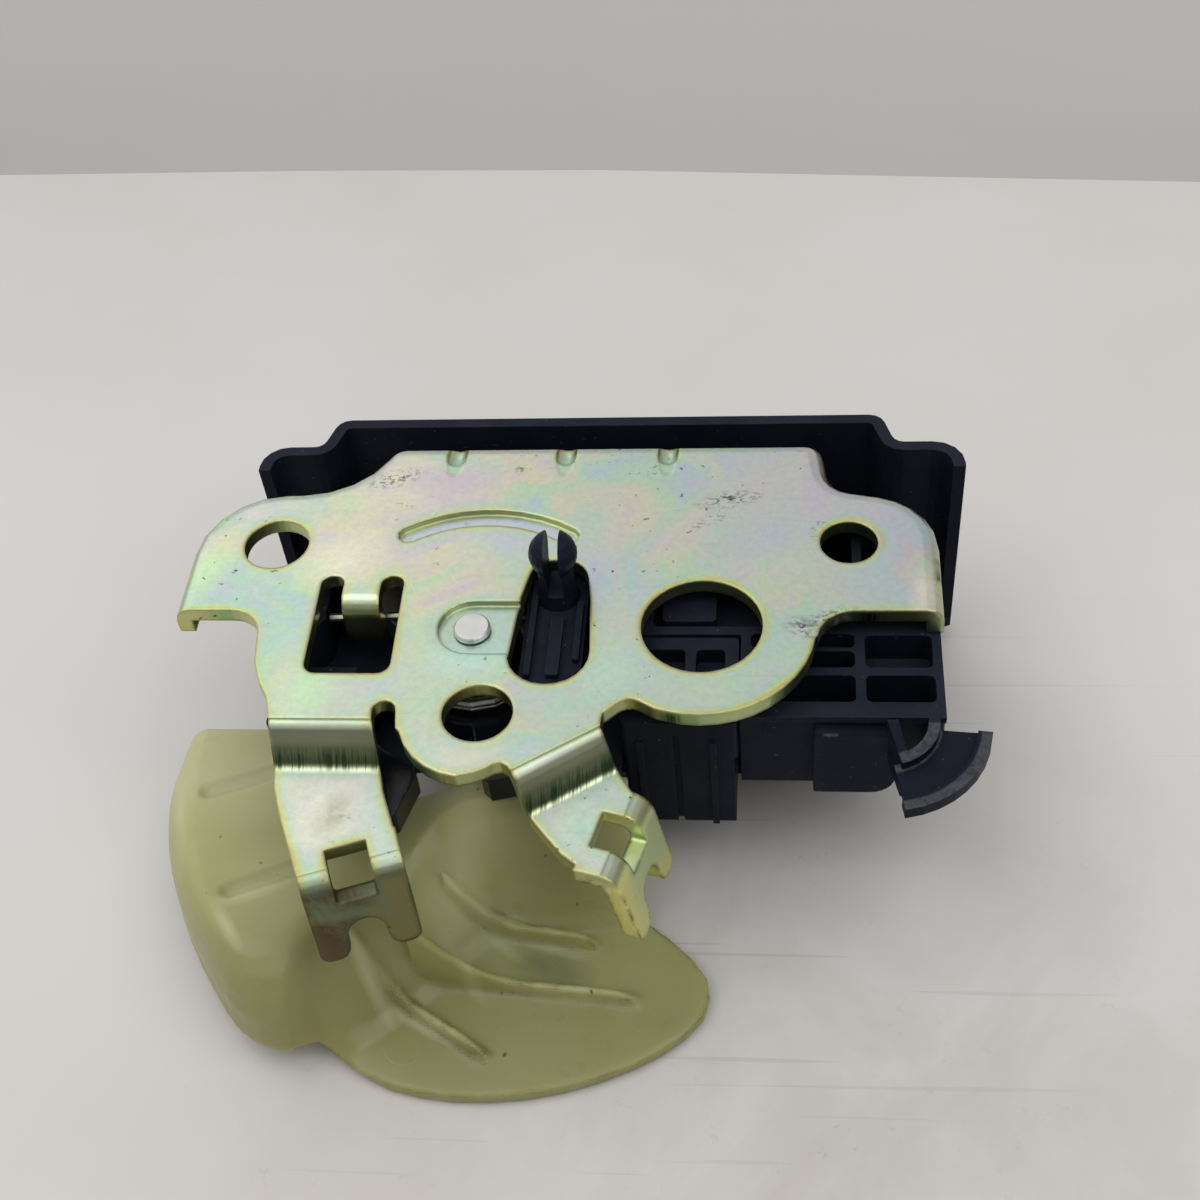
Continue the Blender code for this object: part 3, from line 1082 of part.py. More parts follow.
def handle_row(section, row):
    """One point of a section: rows run over the lip, up the wall and over the top to the back edge."""
    lobe = min(1.0, max(0.0, section[0]))
    rim, foot, crest, back = (Vector(section[i:i + 2]) for i in (1, 3, 5, 7))
    rim_level = blend(LIP_LEVEL, LOBE_RIM, lobe)
    foot_level = rim_level + blend(LIP_CROWN, LOBE_SKIRT, lobe)
    if row <= LIP_ROWS:
        share = row / LIP_ROWS
        level = blend(rim_level, foot_level, blend(math.sin(share * math.pi / 2), share, lobe))
        return Vector((*rim.lerp(foot, share), level))
    if row <= LIP_ROWS + WALL_ROWS:
        share = (row - LIP_ROWS) / WALL_ROWS
        turn = share * math.pi / 2
        side = blend(share, 1 - math.cos(turn), lobe)
        rise = blend(smooth_step(share), math.sin(turn), lobe)
        return Vector((*foot.lerp(crest, side), blend(foot_level, top_level(crest.x), rise)))
    share = (row - LIP_ROWS - WALL_ROWS) / TOP_ROWS
    place = crest.lerp(back, share)
    return Vector((*place, blend(top_level(crest.x), top_level(back.x), share)))


def release_handle():
    columns = (len(HANDLE_SECTIONS) - 1) * SECTION_STEPS
    rows = LIP_ROWS + WALL_ROWS + TOP_ROWS
    bm = bmesh.new()
    bmesh.ops.create_grid(bm, x_segments=columns, y_segments=rows, size=0.5)
    for vertex in bm.verts:
        section = along_sections((vertex.co.x + 0.5) * columns / SECTION_STEPS)
        vertex.co = handle_row(section, round((vertex.co.y + 0.5) * rows)) * MM
    surface = BVHTree.FromBMesh(bm)
    item = finish("release_handle", bm, CREAM, closed=False)
    shell = item.modifiers.new("Wall", "SOLIDIFY")
    shell.thickness = HANDLE_WALL * MM
    shell.offset = -1
    for i, points in enumerate(GUSSETS):
        join(item, gusset(f"gusset_{i}", *points, surface))
    for i, (start, end) in enumerate(PANEL_GROOVES):
        cut(item, extrude(f"panel_groove_{i}", [slot(start, end, GROOVE_RADIUS)],
                          PLATEAU_LEVEL - GROOVE_DEPTH, 0))
    for i, (x0, x1, reach) in enumerate(KNUCKLES):
        level = top_level(x0) - (HANDLE_WALL / 2 if reach < KNUCKLES[0][2] else SKIN)
        web = box(f"knuckle_web_{i}", (x0, x1), (HANDLE_PIN[0] - reach, HANDLE_PIN[0] - 0.5),
                  (HANDLE_PIN[1], level), CREAM)
        join(item, cylinder(f"knuckle_{i}", HANDLE_PIN, KNUCKLE_RADIUS, x0, x1, CREAM, along_x()), web)
    cut(item, cylinder("knuckle_bore", HANDLE_PIN, HANDLE_PIN_RADIUS + GAP, -50, 20, CREAM, along_x()))
    return hang_on(item, (0, *HANDLE_PIN))


def slot(start, end, radius):
    """A slot outline with round ends."""
    turn = math.degrees(math.atan2(end[1] - start[1], end[0] - start[0]))
    return arc(start, radius, turn + 90, turn + 270, 30) + arc(end, radius, turn - 90, turn + 90, 30)


def gusset(name, start, end, surface):
    """A rib that runs down the wall in a hollow curve and out along the lip, set on the shell below it."""
    start, end = Vector(start), Vector(end)
    run = end.xy - start.xy
    top, bottom = [], []
    for i in range(GUSSET_STEPS + 1):
        share = i / GUSSET_STEPS
        place = start.xy + run * share
        ground = surface.ray_cast(Vector((*place, 0)) * MM, Vector((0, 0, -1)))[0].z / MM
        fall = max(0.0, 1 - share / GUSSET_FALL) ** 2.2
        ridge = blend(end.z, start.z, fall)
        fade = smooth_step((1 - share) / GUSSET_FADE)
        along = run.length * share
        rise = max(ridge - ground, GUSSET_RISE * smooth_step(share / GUSSET_FADE))
        top.append((along, ground + max(0.05, rise * fade)))
        bottom.append((along, ground - HANDLE_WALL / 2))
    frame = frame_at((*start.xy, 0), (*run.normalized(), 0), (0, 0, 1))
    return extrude(name, [top + bottom[::-1]], -GUSSET_THICK / 2, GUSSET_THICK / 2, CREAM, frame)


def handle_pins():
    spans = [(LUGS[0][0] - 0.8, LUGS[1][1] + 0.8), (LUGS[2][0] - 0.8, LUGS[3][1] + 0.4)]
    return [cylinder(f"handle_pin_{name}", HANDLE_PIN, HANDLE_PIN_RADIUS, x0, x1, STEEL, along_x(), 16)
            for name, (x0, x1) in zip(("left", "right"), spans)]


def build():
    base_plate()
    catch_rivet()
    housing()
    rear_cover()
    connector_socket()
    connector_terminals()
    catch()
    catch_spring()
    pawl()
    pawl_pin()
    pawl_spring()
    release_slide()
    motor()
    worm()
    worm_wheel()
    wheel_axle()
    cover_screws()
    position_sensor()
    catch_stop()
    release_handle()
    handle_pins()


build()
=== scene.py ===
import math
import json

import bpy
from mathutils import Matrix, Vector


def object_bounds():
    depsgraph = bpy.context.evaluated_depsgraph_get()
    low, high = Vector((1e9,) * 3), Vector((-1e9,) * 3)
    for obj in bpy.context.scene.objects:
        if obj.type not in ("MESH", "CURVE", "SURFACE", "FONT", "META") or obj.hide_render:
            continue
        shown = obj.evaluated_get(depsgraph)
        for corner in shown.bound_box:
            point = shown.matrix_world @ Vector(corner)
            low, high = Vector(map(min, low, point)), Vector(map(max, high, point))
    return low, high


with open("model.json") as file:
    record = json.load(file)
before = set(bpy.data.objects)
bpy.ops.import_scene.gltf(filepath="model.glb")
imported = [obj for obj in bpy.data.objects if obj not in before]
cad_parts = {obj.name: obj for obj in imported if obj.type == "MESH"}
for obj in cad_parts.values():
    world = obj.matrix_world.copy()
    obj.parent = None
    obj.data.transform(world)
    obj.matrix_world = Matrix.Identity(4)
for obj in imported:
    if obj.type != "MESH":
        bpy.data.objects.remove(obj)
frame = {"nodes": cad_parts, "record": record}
CAD_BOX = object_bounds()
MM = 0.001
FLOOR_Z = CAD_BOX[0][2] - 0.0002
ARC = ((-11.5, -17.4), 23.1)
FAN = ((49.3, -30.3), 15.6, 8.2)
RIGHT_LEG = math.radians(-55.6)
SHARP_ANGLE = math.radians(32)
HANDLE_GRID = 0.5

# Surface marks and painted highlights: x, y and radius in millimetres, stretch, turn in degrees, then a colour
# where it differs
# Painted highlights along the handle's rib crests
CREST_HIGHLIGHTS = [(-43.7, -50.5, 2.0, 3.6, 22), (-58.5, -35.8, 1.6, 6.1, -75), (-46.2, -56.3, 1.3, 4.3, -54),
        (-26.7, -58.2, 1.6, 4.1, -54), (-17.7, -62.8, 1.5, 5.0, -24), (-8.4, -48.3, 1.3, 4.4, -37),
        (-13.8, -53.2, 1.5, 5.0, -52), (1.6, -56.2, 1.3, 9.4, -5), (0.6, -49.2, 1.0, 5.6, -12)]
# Tint patches of the passivation; the cream patch at (56.5, -10.5) on the right wing is a painted highlight
TINT_AND_SHEEN_PATCHES = [(-10.0, -23.0, 6.0, 1.4, 10, (0.62, 0.98, 0.86)), (-35.0, -30.0, 6.0, 1.5, 80, (0.66, 0.92, 0.58)),
           (-55.0, -5.5, 4.0, 2.2, 80, (0.66, 0.96, 0.54)), (56.5, -10.5, 3.4, 2.2, 85, (0.98, 0.94, 0.78)),
           (-34.0, -3.5, 7.0, 1.4, 30, (0.93, 0.92, 0.68)), (-16.0, 14.5, 6.0, 1.8, 10, (0.74, 0.62, 0.72)),
           (5.0, -8.0, 7.0, 1.6, 60, (0.60, 0.64, 0.78)), (30.0, 12.0, 9.0, 1.6, 20, (0.72, 0.68, 0.66)),
           (8.0, -49.5, 5.0, 1.5, -56, (0.62, 0.90, 0.74)), (-30.0, -47.0, 6.0, 1.3, 80, (0.98, 0.96, 0.78)),
           (10.0, -26.0, 5.0, 1.6, 60, (0.60, 0.86, 0.68)), (40.0, -4.0, 7.0, 1.4, 0, (0.66, 0.74, 0.62))]
HAIRS = [(-30.5, -0.2, 0.10, 49, -71), (-22.0, -8.7, 0.08, 36, -65), (-16.0, -6.7, 0.05, 76, -57),
         (-25.3, -6.3, 0.06, 42, 168), (28.2, -26.1, 0.04, 253, -165)]
RIBS_X = (-18.5, -0.4, 16.3)
PADS = ((-52.8, -29.6, 1.7), (-43.3, -55.3, 2.3), (-21.2, -65.6, 3.1), (14.4, -59.8, 2.3))
DOTS = ((-59.2, -44.5, 0.35), (-6.0, -66.4, 0.35), (6.4, -56.9, 0.25))

# Grime on the plate: as above, and last how much of the patch stays clean
MARKS = [(26.6, 9.5, 2.2, 3.0, 12, 0.50), (23.5, 4.6, 1.6, 2.2, 30, 0.54), (38.2, -17.5, 2.4, 1.6, -20, 0.46),
         (42.0, -15.6, 2.2, 2.6, 18, 0.50), (-28.2, 14.6, 2.4, 2.4, 20, 0.52), (-25.6, 8.6, 1.6, 1.4, 10, 0.56),
         (14.4, 16.3, 1.2, 2.0, 60, 0.54), (-7.7, 16.6, 0.9, 1.6, 80, 0.48), (4.0, 20.5, 6.0, 5.0, 0, 0.62),
         (40.5, 3.2, 1.4, 2.4, 70, 0.56), (-16.4, -49.0, 3.0, 1.6, 20, 0.60)]

# Camera, backdrop and light; places in millimetres except the lamps', which are in metres
LENS = 52.5
SENSOR = 36
CAMERA_AT = (36.0, -188.06, 195.08)
CAMERA_RIGHT = (0.99417, 0.07228, -0.08007)
CAMERA_UP = (0, 0.74230, 0.67007)
WALL_FOOT = [(-900, 190), (-159, 169), (-82, 167.3), (-9, 164.3), (61, 158.7), (128, 153.4), (900, 80)]
WALL_LEAN = (0, 0.22, 0.22)
FLOOR_REACH = 3.0
BRIGHT_SIDE = (-0.60, 0.55, 0.58)
SKY = [(0.0, 0.14), (0.36, 0.17), (0.50, 0.34), (0.72, 0.50), (0.88, 0.64), (0.935, 0.77), (0.97, 1.05),
       (1.0, 1.2)]
LAMPS = (("key", (-0.42, -0.15, 0.90), 0.70, 2.0), ("top", (0.50, -0.35, 0.80), 0.80, 2.9))


# Node helpers

class Tree:
    """Small wrapper that keeps the material code short."""

    def __init__(self, name):
        self.material = bpy.data.materials.new(name)
        self.material.use_nodes = True
        self.tree = self.material.node_tree
        self.shader = self.tree.nodes["Principled BSDF"]
        self.place = self.add("ShaderNodeTexCoord").outputs["Object"]

    def add(self, kind, **settings):
        item = self.tree.nodes.new(kind)
        for key, value in settings.items():
            setattr(item, key, value)
        return item

    def feed(self, socket, value):
        if hasattr(value, "is_output"):
            self.tree.links.new(value, socket)
        else:
            socket.default_value = value

    def math(self, operation, a, b=0.0, clamp=False):
        item = self.add("ShaderNodeMath", operation=operation, use_clamp=clamp)
        self.feed(item.inputs[0], a)
        self.feed(item.inputs[1], b)
        return item.outputs[0]

    def noise(self, scale, detail=3.0, rough=0.5, distortion=0.0, stretch=None, offset=(0, 0, 0),
              turn=0.0):
        place = self.place
        if stretch or any(offset):
            mapping = self.add("ShaderNodeMapping")
            mapping.inputs["Rotation"].default_value = (0, 0, math.radians(turn))
            self.feed(mapping.inputs["Vector"], place)
            mapping.inputs["Scale"].default_value = stretch or (1, 1, 1)
            mapping.inputs["Location"].default_value = offset
            place = mapping.outputs[0]
        item = self.add("ShaderNodeTexNoise")
        self.feed(item.inputs["Vector"], place)
        item.inputs["Scale"].default_value = scale
        item.inputs["Detail"].default_value = detail
        item.inputs["Roughness"].default_value = rough
        item.inputs["Distortion"].default_value = distortion
        return item.outputs["Fac"]

    def ramp(self, value, stops, smooth=False):
        item = self.add("ShaderNodeValToRGB")
        band = item.color_ramp
        band.interpolation = "EASE" if smooth else "LINEAR"
        while len(band.elements) < len(stops):
            band.elements.new(0.5)
        for element, (at, colour) in zip(band.elements, stops):
            element.position = at
            element.color = (*colour, 1.0) if isinstance(colour, tuple) else (colour, colour, colour, 1.0)
        self.feed(item.inputs[0], value)
        return item.outputs[0]

    def span(self, value, low, high, to_low=0.0, to_high=1.0):
        item = self.add("ShaderNodeMapRange", clamp=True)
        self.feed(item.inputs[0], value)
        for i, number in enumerate((low, high, to_low, to_high)):
            self.feed(item.inputs[i + 1], number)
        return item.outputs[0]

    def mix(self, share, a, b, blend="MIX"):
        item = self.add("ShaderNodeMix", data_type="RGBA", blend_type=blend)
        self.feed(item.inputs[0], share)
        self.feed(item.inputs[6], (*a, 1.0) if isinstance(a, tuple) else a)
        self.feed(item.inputs[7], (*b, 1.0) if isinstance(b, tuple) else b)
        return item.outputs[2]

    def part(self, vector, axis):
        item = self.add("ShaderNodeSeparateXYZ")
        self.feed(item.inputs[0], vector)
        return item.outputs[axis]

    def normal(self):
        return self.add("ShaderNodeNewGeometry").outputs["True Normal"]

    def near_edge(self, radius):
        """1 on an edge, falling to 0 that many millimetres from it: how far a wide bevel turns there."""
        bevel = self.add("ShaderNodeBevel", samples=8)
        bevel.inputs["Radius"].default_value = radius * MM
        turn = self.add("ShaderNodeVectorMath", operation="DOT_PRODUCT")
        self.feed(turn.inputs[0], bevel.outputs[0])
        self.feed(turn.inputs[1], self.normal())
        angle = self.math("ARCCOSINE", self.math("MINIMUM", turn.outputs["Value"], 1.0))
        return self.math("MULTIPLY", angle, 4 / math.pi, clamp=True)

    def spread(self, x, y, wide, high, turn):
        mapping = self.add("ShaderNodeMapping", vector_type="TEXTURE")
        self.feed(mapping.inputs["Vector"], self.place)
        mapping.inputs["Location"].default_value = (x * MM, y * MM, 0)
        mapping.inputs["Rotation"].default_value = (0, 0, math.radians(turn))
        mapping.inputs["Scale"].default_value = (wide * MM, high * MM, 1000.0)
        size = self.add("ShaderNodeVectorMath", operation="LENGTH")
        self.feed(size.inputs[0], mapping.outputs[0])
        return size.outputs["Value"]

    def spot(self, x, y, radius, soft=0.5, stretch=1.0, turn=0.0):
        """1 inside an ellipse on the X-Y plane, in millimetres, fading to 0."""
        return self.span(self.spread(x, y, radius * stretch, radius, turn), 1.0, 1.0 - soft)

    def far(self, x, y):
        """Distance on the X-Y plane from a place, everything in millimetres."""
        return self.spread(x, y, 1.0, 1.0, 0.0)

    def bump(self, height, strength, distance, edge=0.0):
        item = self.add("ShaderNodeBump")
        item.inputs["Strength"].default_value = strength
        item.inputs["Distance"].default_value = distance * MM
        self.feed(item.inputs["Height"], height)
        if edge:
            bevel = self.add("ShaderNodeBevel", samples=6)
            bevel.inputs["Radius"].default_value = edge * MM
            self.feed(item.inputs["Normal"], bevel.outputs[0])
        self.feed(self.shader.inputs["Normal"], item.outputs[0])

    def finish(self, colour=None, rough=None, metal=0.0, **sockets):
        if colour is not None:
            self.feed(self.shader.inputs["Base Color"], colour)
        if rough is not None:
            self.feed(self.shader.inputs["Roughness"], rough)
        self.shader.inputs["Metallic"].default_value = metal
        for name, value in sockets.items():
            self.shader.inputs[name.replace("_", " ")].default_value = value
        return self.material


# Materials

def zinc():
    """Yellow passivated zinc: green, cream and violet clouds, with rainbow bands beside every edge; a painted
    reflection lightens the left side, a cream patch on the right wing is a painted highlight, and the leg steps
    carry painted highlights and painted shade.
    """
    t = Tree("yellow_zinc")
    x, y, height = (t.part(t.place, i) for i in range(3))
    clouds = t.noise(30, 3, 0.55, 1.4)
    tint = t.ramp(clouds, [(0.30, (0.66, 0.60, 0.78)), (0.38, (0.44, 0.70, 0.66)), (0.45, (0.54, 0.80, 0.44)),
                           (0.52, (0.78, 0.74, 0.46)), (0.58, (0.74, 0.60, 0.62)), (0.66, (0.50, 0.70, 0.70))],
                  smooth=True)
    # base tone: lighter to the left as a painted reflection, and yellower there
    base_with_left_sheen = t.mix(t.span(x, -0.034, 0.004), (0.85, 0.85, 0.67), (0.65, 0.665, 0.76))
    colour = t.mix(t.span(t.noise(17, 2, 0.5, 0.5, offset=(3, 1, 0)), 0.38, 0.62, 0.10, 0.75), tint, base_with_left_sheen)
    green = t.math("MULTIPLY", t.span(y, 0.000, -0.020),
                   t.span(t.noise(48, 3, 0.5, 0.8, offset=(1, 1, 4)), 0.36, 0.58, 0.20, 0.70))
    colour = t.mix(green, colour, (0.60, 0.80, 0.60))
    legs = t.math("MULTIPLY", t.span(y, -0.038, -0.042), 0.7)
    legs_tone = t.mix(t.span(t.noise(60, 2, 0.5, 0.8), 0.40, 0.60), (0.86, 0.84, 0.70), (0.66, 0.84, 0.70))
    colour = t.mix(legs, colour, legs_tone)
    halo = t.math("ADD", t.near_edge(3.4), t.span(t.noise(110, 3, 0.6, 0.6), 0.3, 0.7, -0.22, 0.22))
    fringe = t.ramp(halo, [(0.10, (0.72, 0.60, 0.80)), (0.26, (0.50, 0.72, 0.70)), (0.42, (0.46, 0.80, 0.38)),
                           (0.62, (0.80, 0.80, 0.26)), (0.90, (0.60, 0.52, 0.18))])
    share = t.ramp(halo, [(0.02, 0.0), (0.18, 0.50), (0.50, 0.80), (1.0, 0.92)])
    share = t.math("MULTIPLY", share, t.span(t.noise(40, 2, 0.5), 0.3, 0.6, 0.45, 1.0))
    colour = t.mix(share, colour, fringe)
    # tint patches, with one painted highlight: the cream patch on the right wing
    for at_x, at_y, radius, stretch, turn, patch in TINT_AND_SHEEN_PATCHES:
        share = t.math("MULTIPLY", t.spot(at_x, at_y, radius, 0.9, stretch, turn),
                       t.span(t.noise(75, 3, 0.5, 0.6), 0.25, 0.60, 0.35, 0.95))
        colour = t.mix(share, colour, patch)
    arc = t.math("MULTIPLY", t.span(t.far(*ARC[0]), ARC[1] - 1.0, ARC[1] - 0.6),
                 t.span(t.far(*ARC[0]), ARC[1] + 1.0, ARC[1] + 0.6))
    arc = t.math("MULTIPLY", arc, t.span(y, 0.0012, 0.0020))
    colour = t.mix(t.math("MULTIPLY", arc, 0.75), colour, (0.66, 0.72, 0.86))
    pocket = t.spot(-9.5, -17.4, 7.0, 0.25, 1.4)
    colour = t.mix(t.math("MULTIPLY", pocket, 0.55), colour, (0.50, 0.70, 0.66))
    ribs = None
    for place in RIBS_X:
        rib = t.spot(place, 18.2, 1.55, 0.30, 2.2, 90)
        ribs = rib if ribs is None else t.math("MAXIMUM", ribs, rib)
    colour = t.mix(t.math("MULTIPLY", ribs, 0.75), colour, (0.50, 0.76, 0.52))
    slope = t.span(t.math("ABSOLUTE", t.part(t.normal(), 2)), 0.95, 0.30)
    bent = t.mix(t.span(t.noise(70, 2, 0.5, 0.8), 0.35, 0.65), (0.62, 0.56, 0.20), (0.36, 0.50, 0.22))
    colour = t.mix(t.math("MULTIPLY", slope, 0.85), colour, bent)
    streaks = t.noise(60, 4, 0.65, 0.2, stretch=(1, 14, 1))
    colour = t.mix(t.span(streaks, 0.60, 0.80, 0.0, 0.22), colour, (0.36, 0.34, 0.28))
    cloth = t.noise(900, 3, 0.7)
    colour = t.mix(t.span(cloth, 0.35, 0.65, 0.0, 0.16), colour, (0.30, 0.30, 0.27))
    specks = t.math("MULTIPLY", t.span(t.noise(620, 2, 0.6), 0.68, 0.73),
                    t.span(t.noise(26, 2, 0.5, 0.6, offset=(0, 5, 2)), 0.48, 0.60))
    marks = specks
    for at_x, at_y, radius, stretch, turn, cut in MARKS:
        patch = t.spot(at_x, at_y, radius, 0.8, stretch, turn)
        grain = t.span(t.noise(800, 4, 0.75, offset=(at_x, at_y, 0), stretch=(1, 1.6, 1)), cut, cut + 0.05)
        marks = t.math("MAXIMUM", marks, t.math("MULTIPLY", patch, grain))
    colour = t.mix(t.math("MULTIPLY", marks, 0.8), colour, (0.07, 0.06, 0.045))
    paste = t.math("MULTIPLY", t.spot(38.0, -18.3, 2.2, 0.5, 1.3),
                   t.span(t.noise(420, 3, 0.6), 0.48, 0.54))
    colour = t.mix(t.math("MULTIPLY", paste, 0.7), colour, (0.72, 0.70, 0.66))
    smudge = t.math("MULTIPLY", t.spot(-28.5, -47.5, 3.4, 0.9, 1.5, 70),
                    t.span(t.noise(260, 4, 0.7), 0.40, 0.60))
    colour = t.mix(t.math("MULTIPLY", smudge, 0.5), colour, (0.30, 0.27, 0.20))
    scratches = None
    for at_x, at_y, radius, stretch, turn in HAIRS:
        hair = t.spot(at_x, at_y, radius, 0.9, stretch, turn)
        scratches = hair if scratches is None else t.math("MAXIMUM", scratches, hair)
    scratches = t.math("MULTIPLY", scratches, t.span(t.noise(500, 3, 0.6), 0.35, 0.60, 0.0, 0.8))
    colour = t.mix(scratches, colour, (0.95, 0.95, 0.92))
    beyond = t.math("ADD", t.math("MULTIPLY", x, math.cos(RIGHT_LEG)),
                    t.math("MULTIPLY", y, math.sin(RIGHT_LEG)))
    right = t.span(x, -0.0125, -0.0120)
    below = t.span(height, -0.0002, -0.0012)
    along = t.mix(right, t.math("MULTIPLY", y, -1.0), t.math("ADD", beyond, 0.00055))
    lines = t.mix(right, t.noise(2200, 3, 0.7, stretch=(1, 0.04, 0.04)),
                  t.noise(2200, 3, 0.7, stretch=(1, 0.04, 0.04), turn=90 - math.degrees(RIGHT_LEG) - 180))
    # across each leg step: an olive tone with painted highlights on the upper and lower bend roundings and
    # painted shade between them
    step_tone_and_light = t.ramp(t.span(along, 0.0350, 0.0402),
                    [(0.04, (0.60, 0.58, 0.42)), (0.20, (0.24, 0.24, 0.20)), (0.42, (0.42, 0.42, 0.26)),
                     (0.60, (0.20, 0.25, 0.13)), (0.78, (0.10, 0.11, 0.05)), (0.90, (0.70, 0.74, 0.44))],
                    smooth=True)
    drawn = t.math("MULTIPLY", t.span(along, 0.0350, 0.0360), t.span(along, 0.0402, 0.0394))
    drawn = t.math("MULTIPLY", drawn, below)
    colour = t.mix(t.math("MULTIPLY", drawn, 0.85), colour, step_tone_and_light)
    line = t.math("MULTIPLY", t.span(along, 0.0376, 0.0386), t.span(along, 0.0403, 0.0394))
    line = t.math("MULTIPLY", line, below)
    comb = t.math("MULTIPLY", line, t.span(lines, 0.46, 0.56, 0.0, 0.90))
    colour = t.mix(comb, colour, t.mix(t.noise(300, 2, 0.5), (0.02, 0.12, 0.05), (0.07, 0.07, 0.03)))
    left_tab = t.math("MULTIPLY", t.spot(-29.0, -58.0, 8.5, 0.6), t.span(t.noise(130, 5, 0.7, 0.5), 0.32, 0.52))
    right_tab = t.math("MULTIPLY", t.spot(8.4, -55.5, 5.2, 0.7), t.span(t.noise(170, 5, 0.7, 0.5), 0.38, 0.54))
    rust = t.math("MULTIPLY", t.near_edge(1.2), t.span(t.noise(260, 5, 0.75), 0.42, 0.58))
    rust = t.math("MULTIPLY", rust, t.span(height, -0.0085, -0.0110))
    low = t.span(height, -0.0060, -0.0085)
    grime = t.math("MULTIPLY", t.math("MAXIMUM", left_tab, right_tab), low)
    grime = t.math("MAXIMUM", grime, rust)
    mottle = t.span(t.noise(75, 3, 0.5, 0.8), 0.42, 0.58)
    tab = t.mix(right, t.mix(mottle, (0.15, 0.13, 0.06), (0.09, 0.15, 0.10)),
                t.mix(mottle, (0.86, 0.82, 0.30), (0.64, 0.76, 0.40)))
    tint = t.mix(low, colour, tab)
    colour = t.mix(0.85, colour, tint)
    colour = t.mix(t.math("MULTIPLY", grime, 0.85), colour, (0.13, 0.085, 0.05))
    rough = t.math("ADD", t.span(t.noise(45, 4, 0.6, 0.3), 0.3, 0.7, 0.27, 0.40), t.math("MULTIPLY", marks, 0.3))
    rough = t.math("ADD", rough, t.math("MULTIPLY", grime, 0.3))
    grain = t.math("ADD", t.noise(1500, 2, 0.5), t.math("MULTIPLY", t.noise(160, 3, 0.6), 2.0))
    grain = t.math("SUBTRACT", grain, t.math("MULTIPLY", ribs, 45.0))
    t.bump(grain, 0.12, 0.05, edge=0.75)
    return t.finish(colour, rough, 1.0)


def steel(name, colour, rough):
    """Bare metal with a faint turned grain."""
    t = Tree(name)
    turned = t.noise(400, 3, 0.6, stretch=(1, 1, 6))
    tone = t.mix(t.span(t.noise(220, 3, 0.6), 0.35, 0.7), colour, tuple(c * 0.86 for c in colour))
    t.bump(turned, 0.03, 0.02, edge=0.2)
    return t.finish(tone, t.span(turned, 0.3, 0.7, rough - 0.04, rough + 0.08), 1.0)


def black(name, dusty):
    """Black moulded plastic with a fine spark texture and a thin bluish film of dust on what faces up."""
    t = Tree(name)
    up = t.span(t.part(t.normal(), 2), 0.3, 0.95)
    dust = t.math("MULTIPLY", up, t.span(t.noise(90, 5, 0.65, 0.4), 0.30, 0.75, 0.10 * dusty, 0.52 * dusty))
    body = t.mix(t.span(t.noise(120, 3, 0.5), 0.3, 0.7), (0.0082, 0.0098, 0.0165), (0.0125, 0.0145, 0.0235))
    colour = t.mix(dust, body, (0.034, 0.038, 0.056))
    worn = t.math("MULTIPLY", t.span(t.near_edge(0.5), 0.30, 0.80), t.span(t.noise(420, 4, 0.7), 0.42, 0.62))
    colour = t.mix(t.math("MULTIPLY", worn, 0.55), colour, (0.032, 0.035, 0.046))
    fan = t.far(*FAN[0])
    chips = t.span(t.noise(900, 4, 0.8), 0.30, 0.58, 0.25, 1.0)
    rim = t.math("MULTIPLY", t.span(fan, FAN[1] - 1.7, FAN[1] - 1.4), t.span(fan, FAN[1] + 0.5, FAN[1] + 0.2))
    bars = t.math("MULTIPLY", t.span(fan, FAN[2] - 2.0, FAN[2] - 1.7), t.span(fan, FAN[2] + 0.5, FAN[2] + 0.2))
    rim = t.math("MULTIPLY", t.math("MAXIMUM", rim, bars), t.span(t.part(t.place, 1), -0.0306, -0.0310))
    rim = t.math("MULTIPLY", t.math("MULTIPLY", rim, chips), up)
    dark = t.math("MULTIPLY", t.span(t.part(t.place, 1), -0.0306, -0.0310), up)
    colour = t.mix(t.math("MULTIPLY", dark, 0.8), colour, body)
    colour = t.mix(t.math("MULTIPLY", rim, 0.9), colour, (0.085, 0.088, 0.100))
    lint = t.span(t.noise(1100, 1, 0.5), 0.745, 0.77, 0.0, 0.35)
    colour = t.mix(lint, colour, (0.12, 0.12, 0.12))
    grain = t.math("ADD", t.noise(2600, 2, 0.5), t.math("MULTIPLY", rim, t.noise(700, 4, 0.8)))
    t.bump(grain, 0.22, 0.05, edge=0.22)
    rough = t.span(t.noise(300, 3, 0.6), 0.3, 0.7, 0.34, 0.48)
    return t.finish(colour, rough, 0.0, Specular_IOR_Level=0.08, Specular_Tint=(0.55, 0.68, 1.0, 1.0))


def coated():
    """Overmoulded catch: glossy blue-black with pale marks along its edges, partly worn nicks and partly painted
    glints.
    """
    t = Tree("coated_black")
    colour = t.mix(t.span(t.noise(150, 3, 0.5), 0.3, 0.7), (0.0025, 0.0028, 0.0070), (0.0060, 0.0065, 0.0130))
    # pale edge marks: worn nicks and painted glints
    nicks_and_glints = t.math("MULTIPLY", t.span(t.near_edge(0.9), 0.45, 0.85), t.span(t.noise(210, 3, 0.7), 0.46, 0.60))
    colour = t.mix(t.math("MULTIPLY", nicks_and_glints, 0.8), colour, (0.16, 0.18, 0.24))
    t.bump(t.noise(500, 2, 0.5), 0.08, 0.05, edge=0.6)
    return t.finish(colour, t.span(t.noise(260, 3, 0.5), 0.3, 0.7, 0.14, 0.28), 0.0, Specular_IOR_Level=0.30)


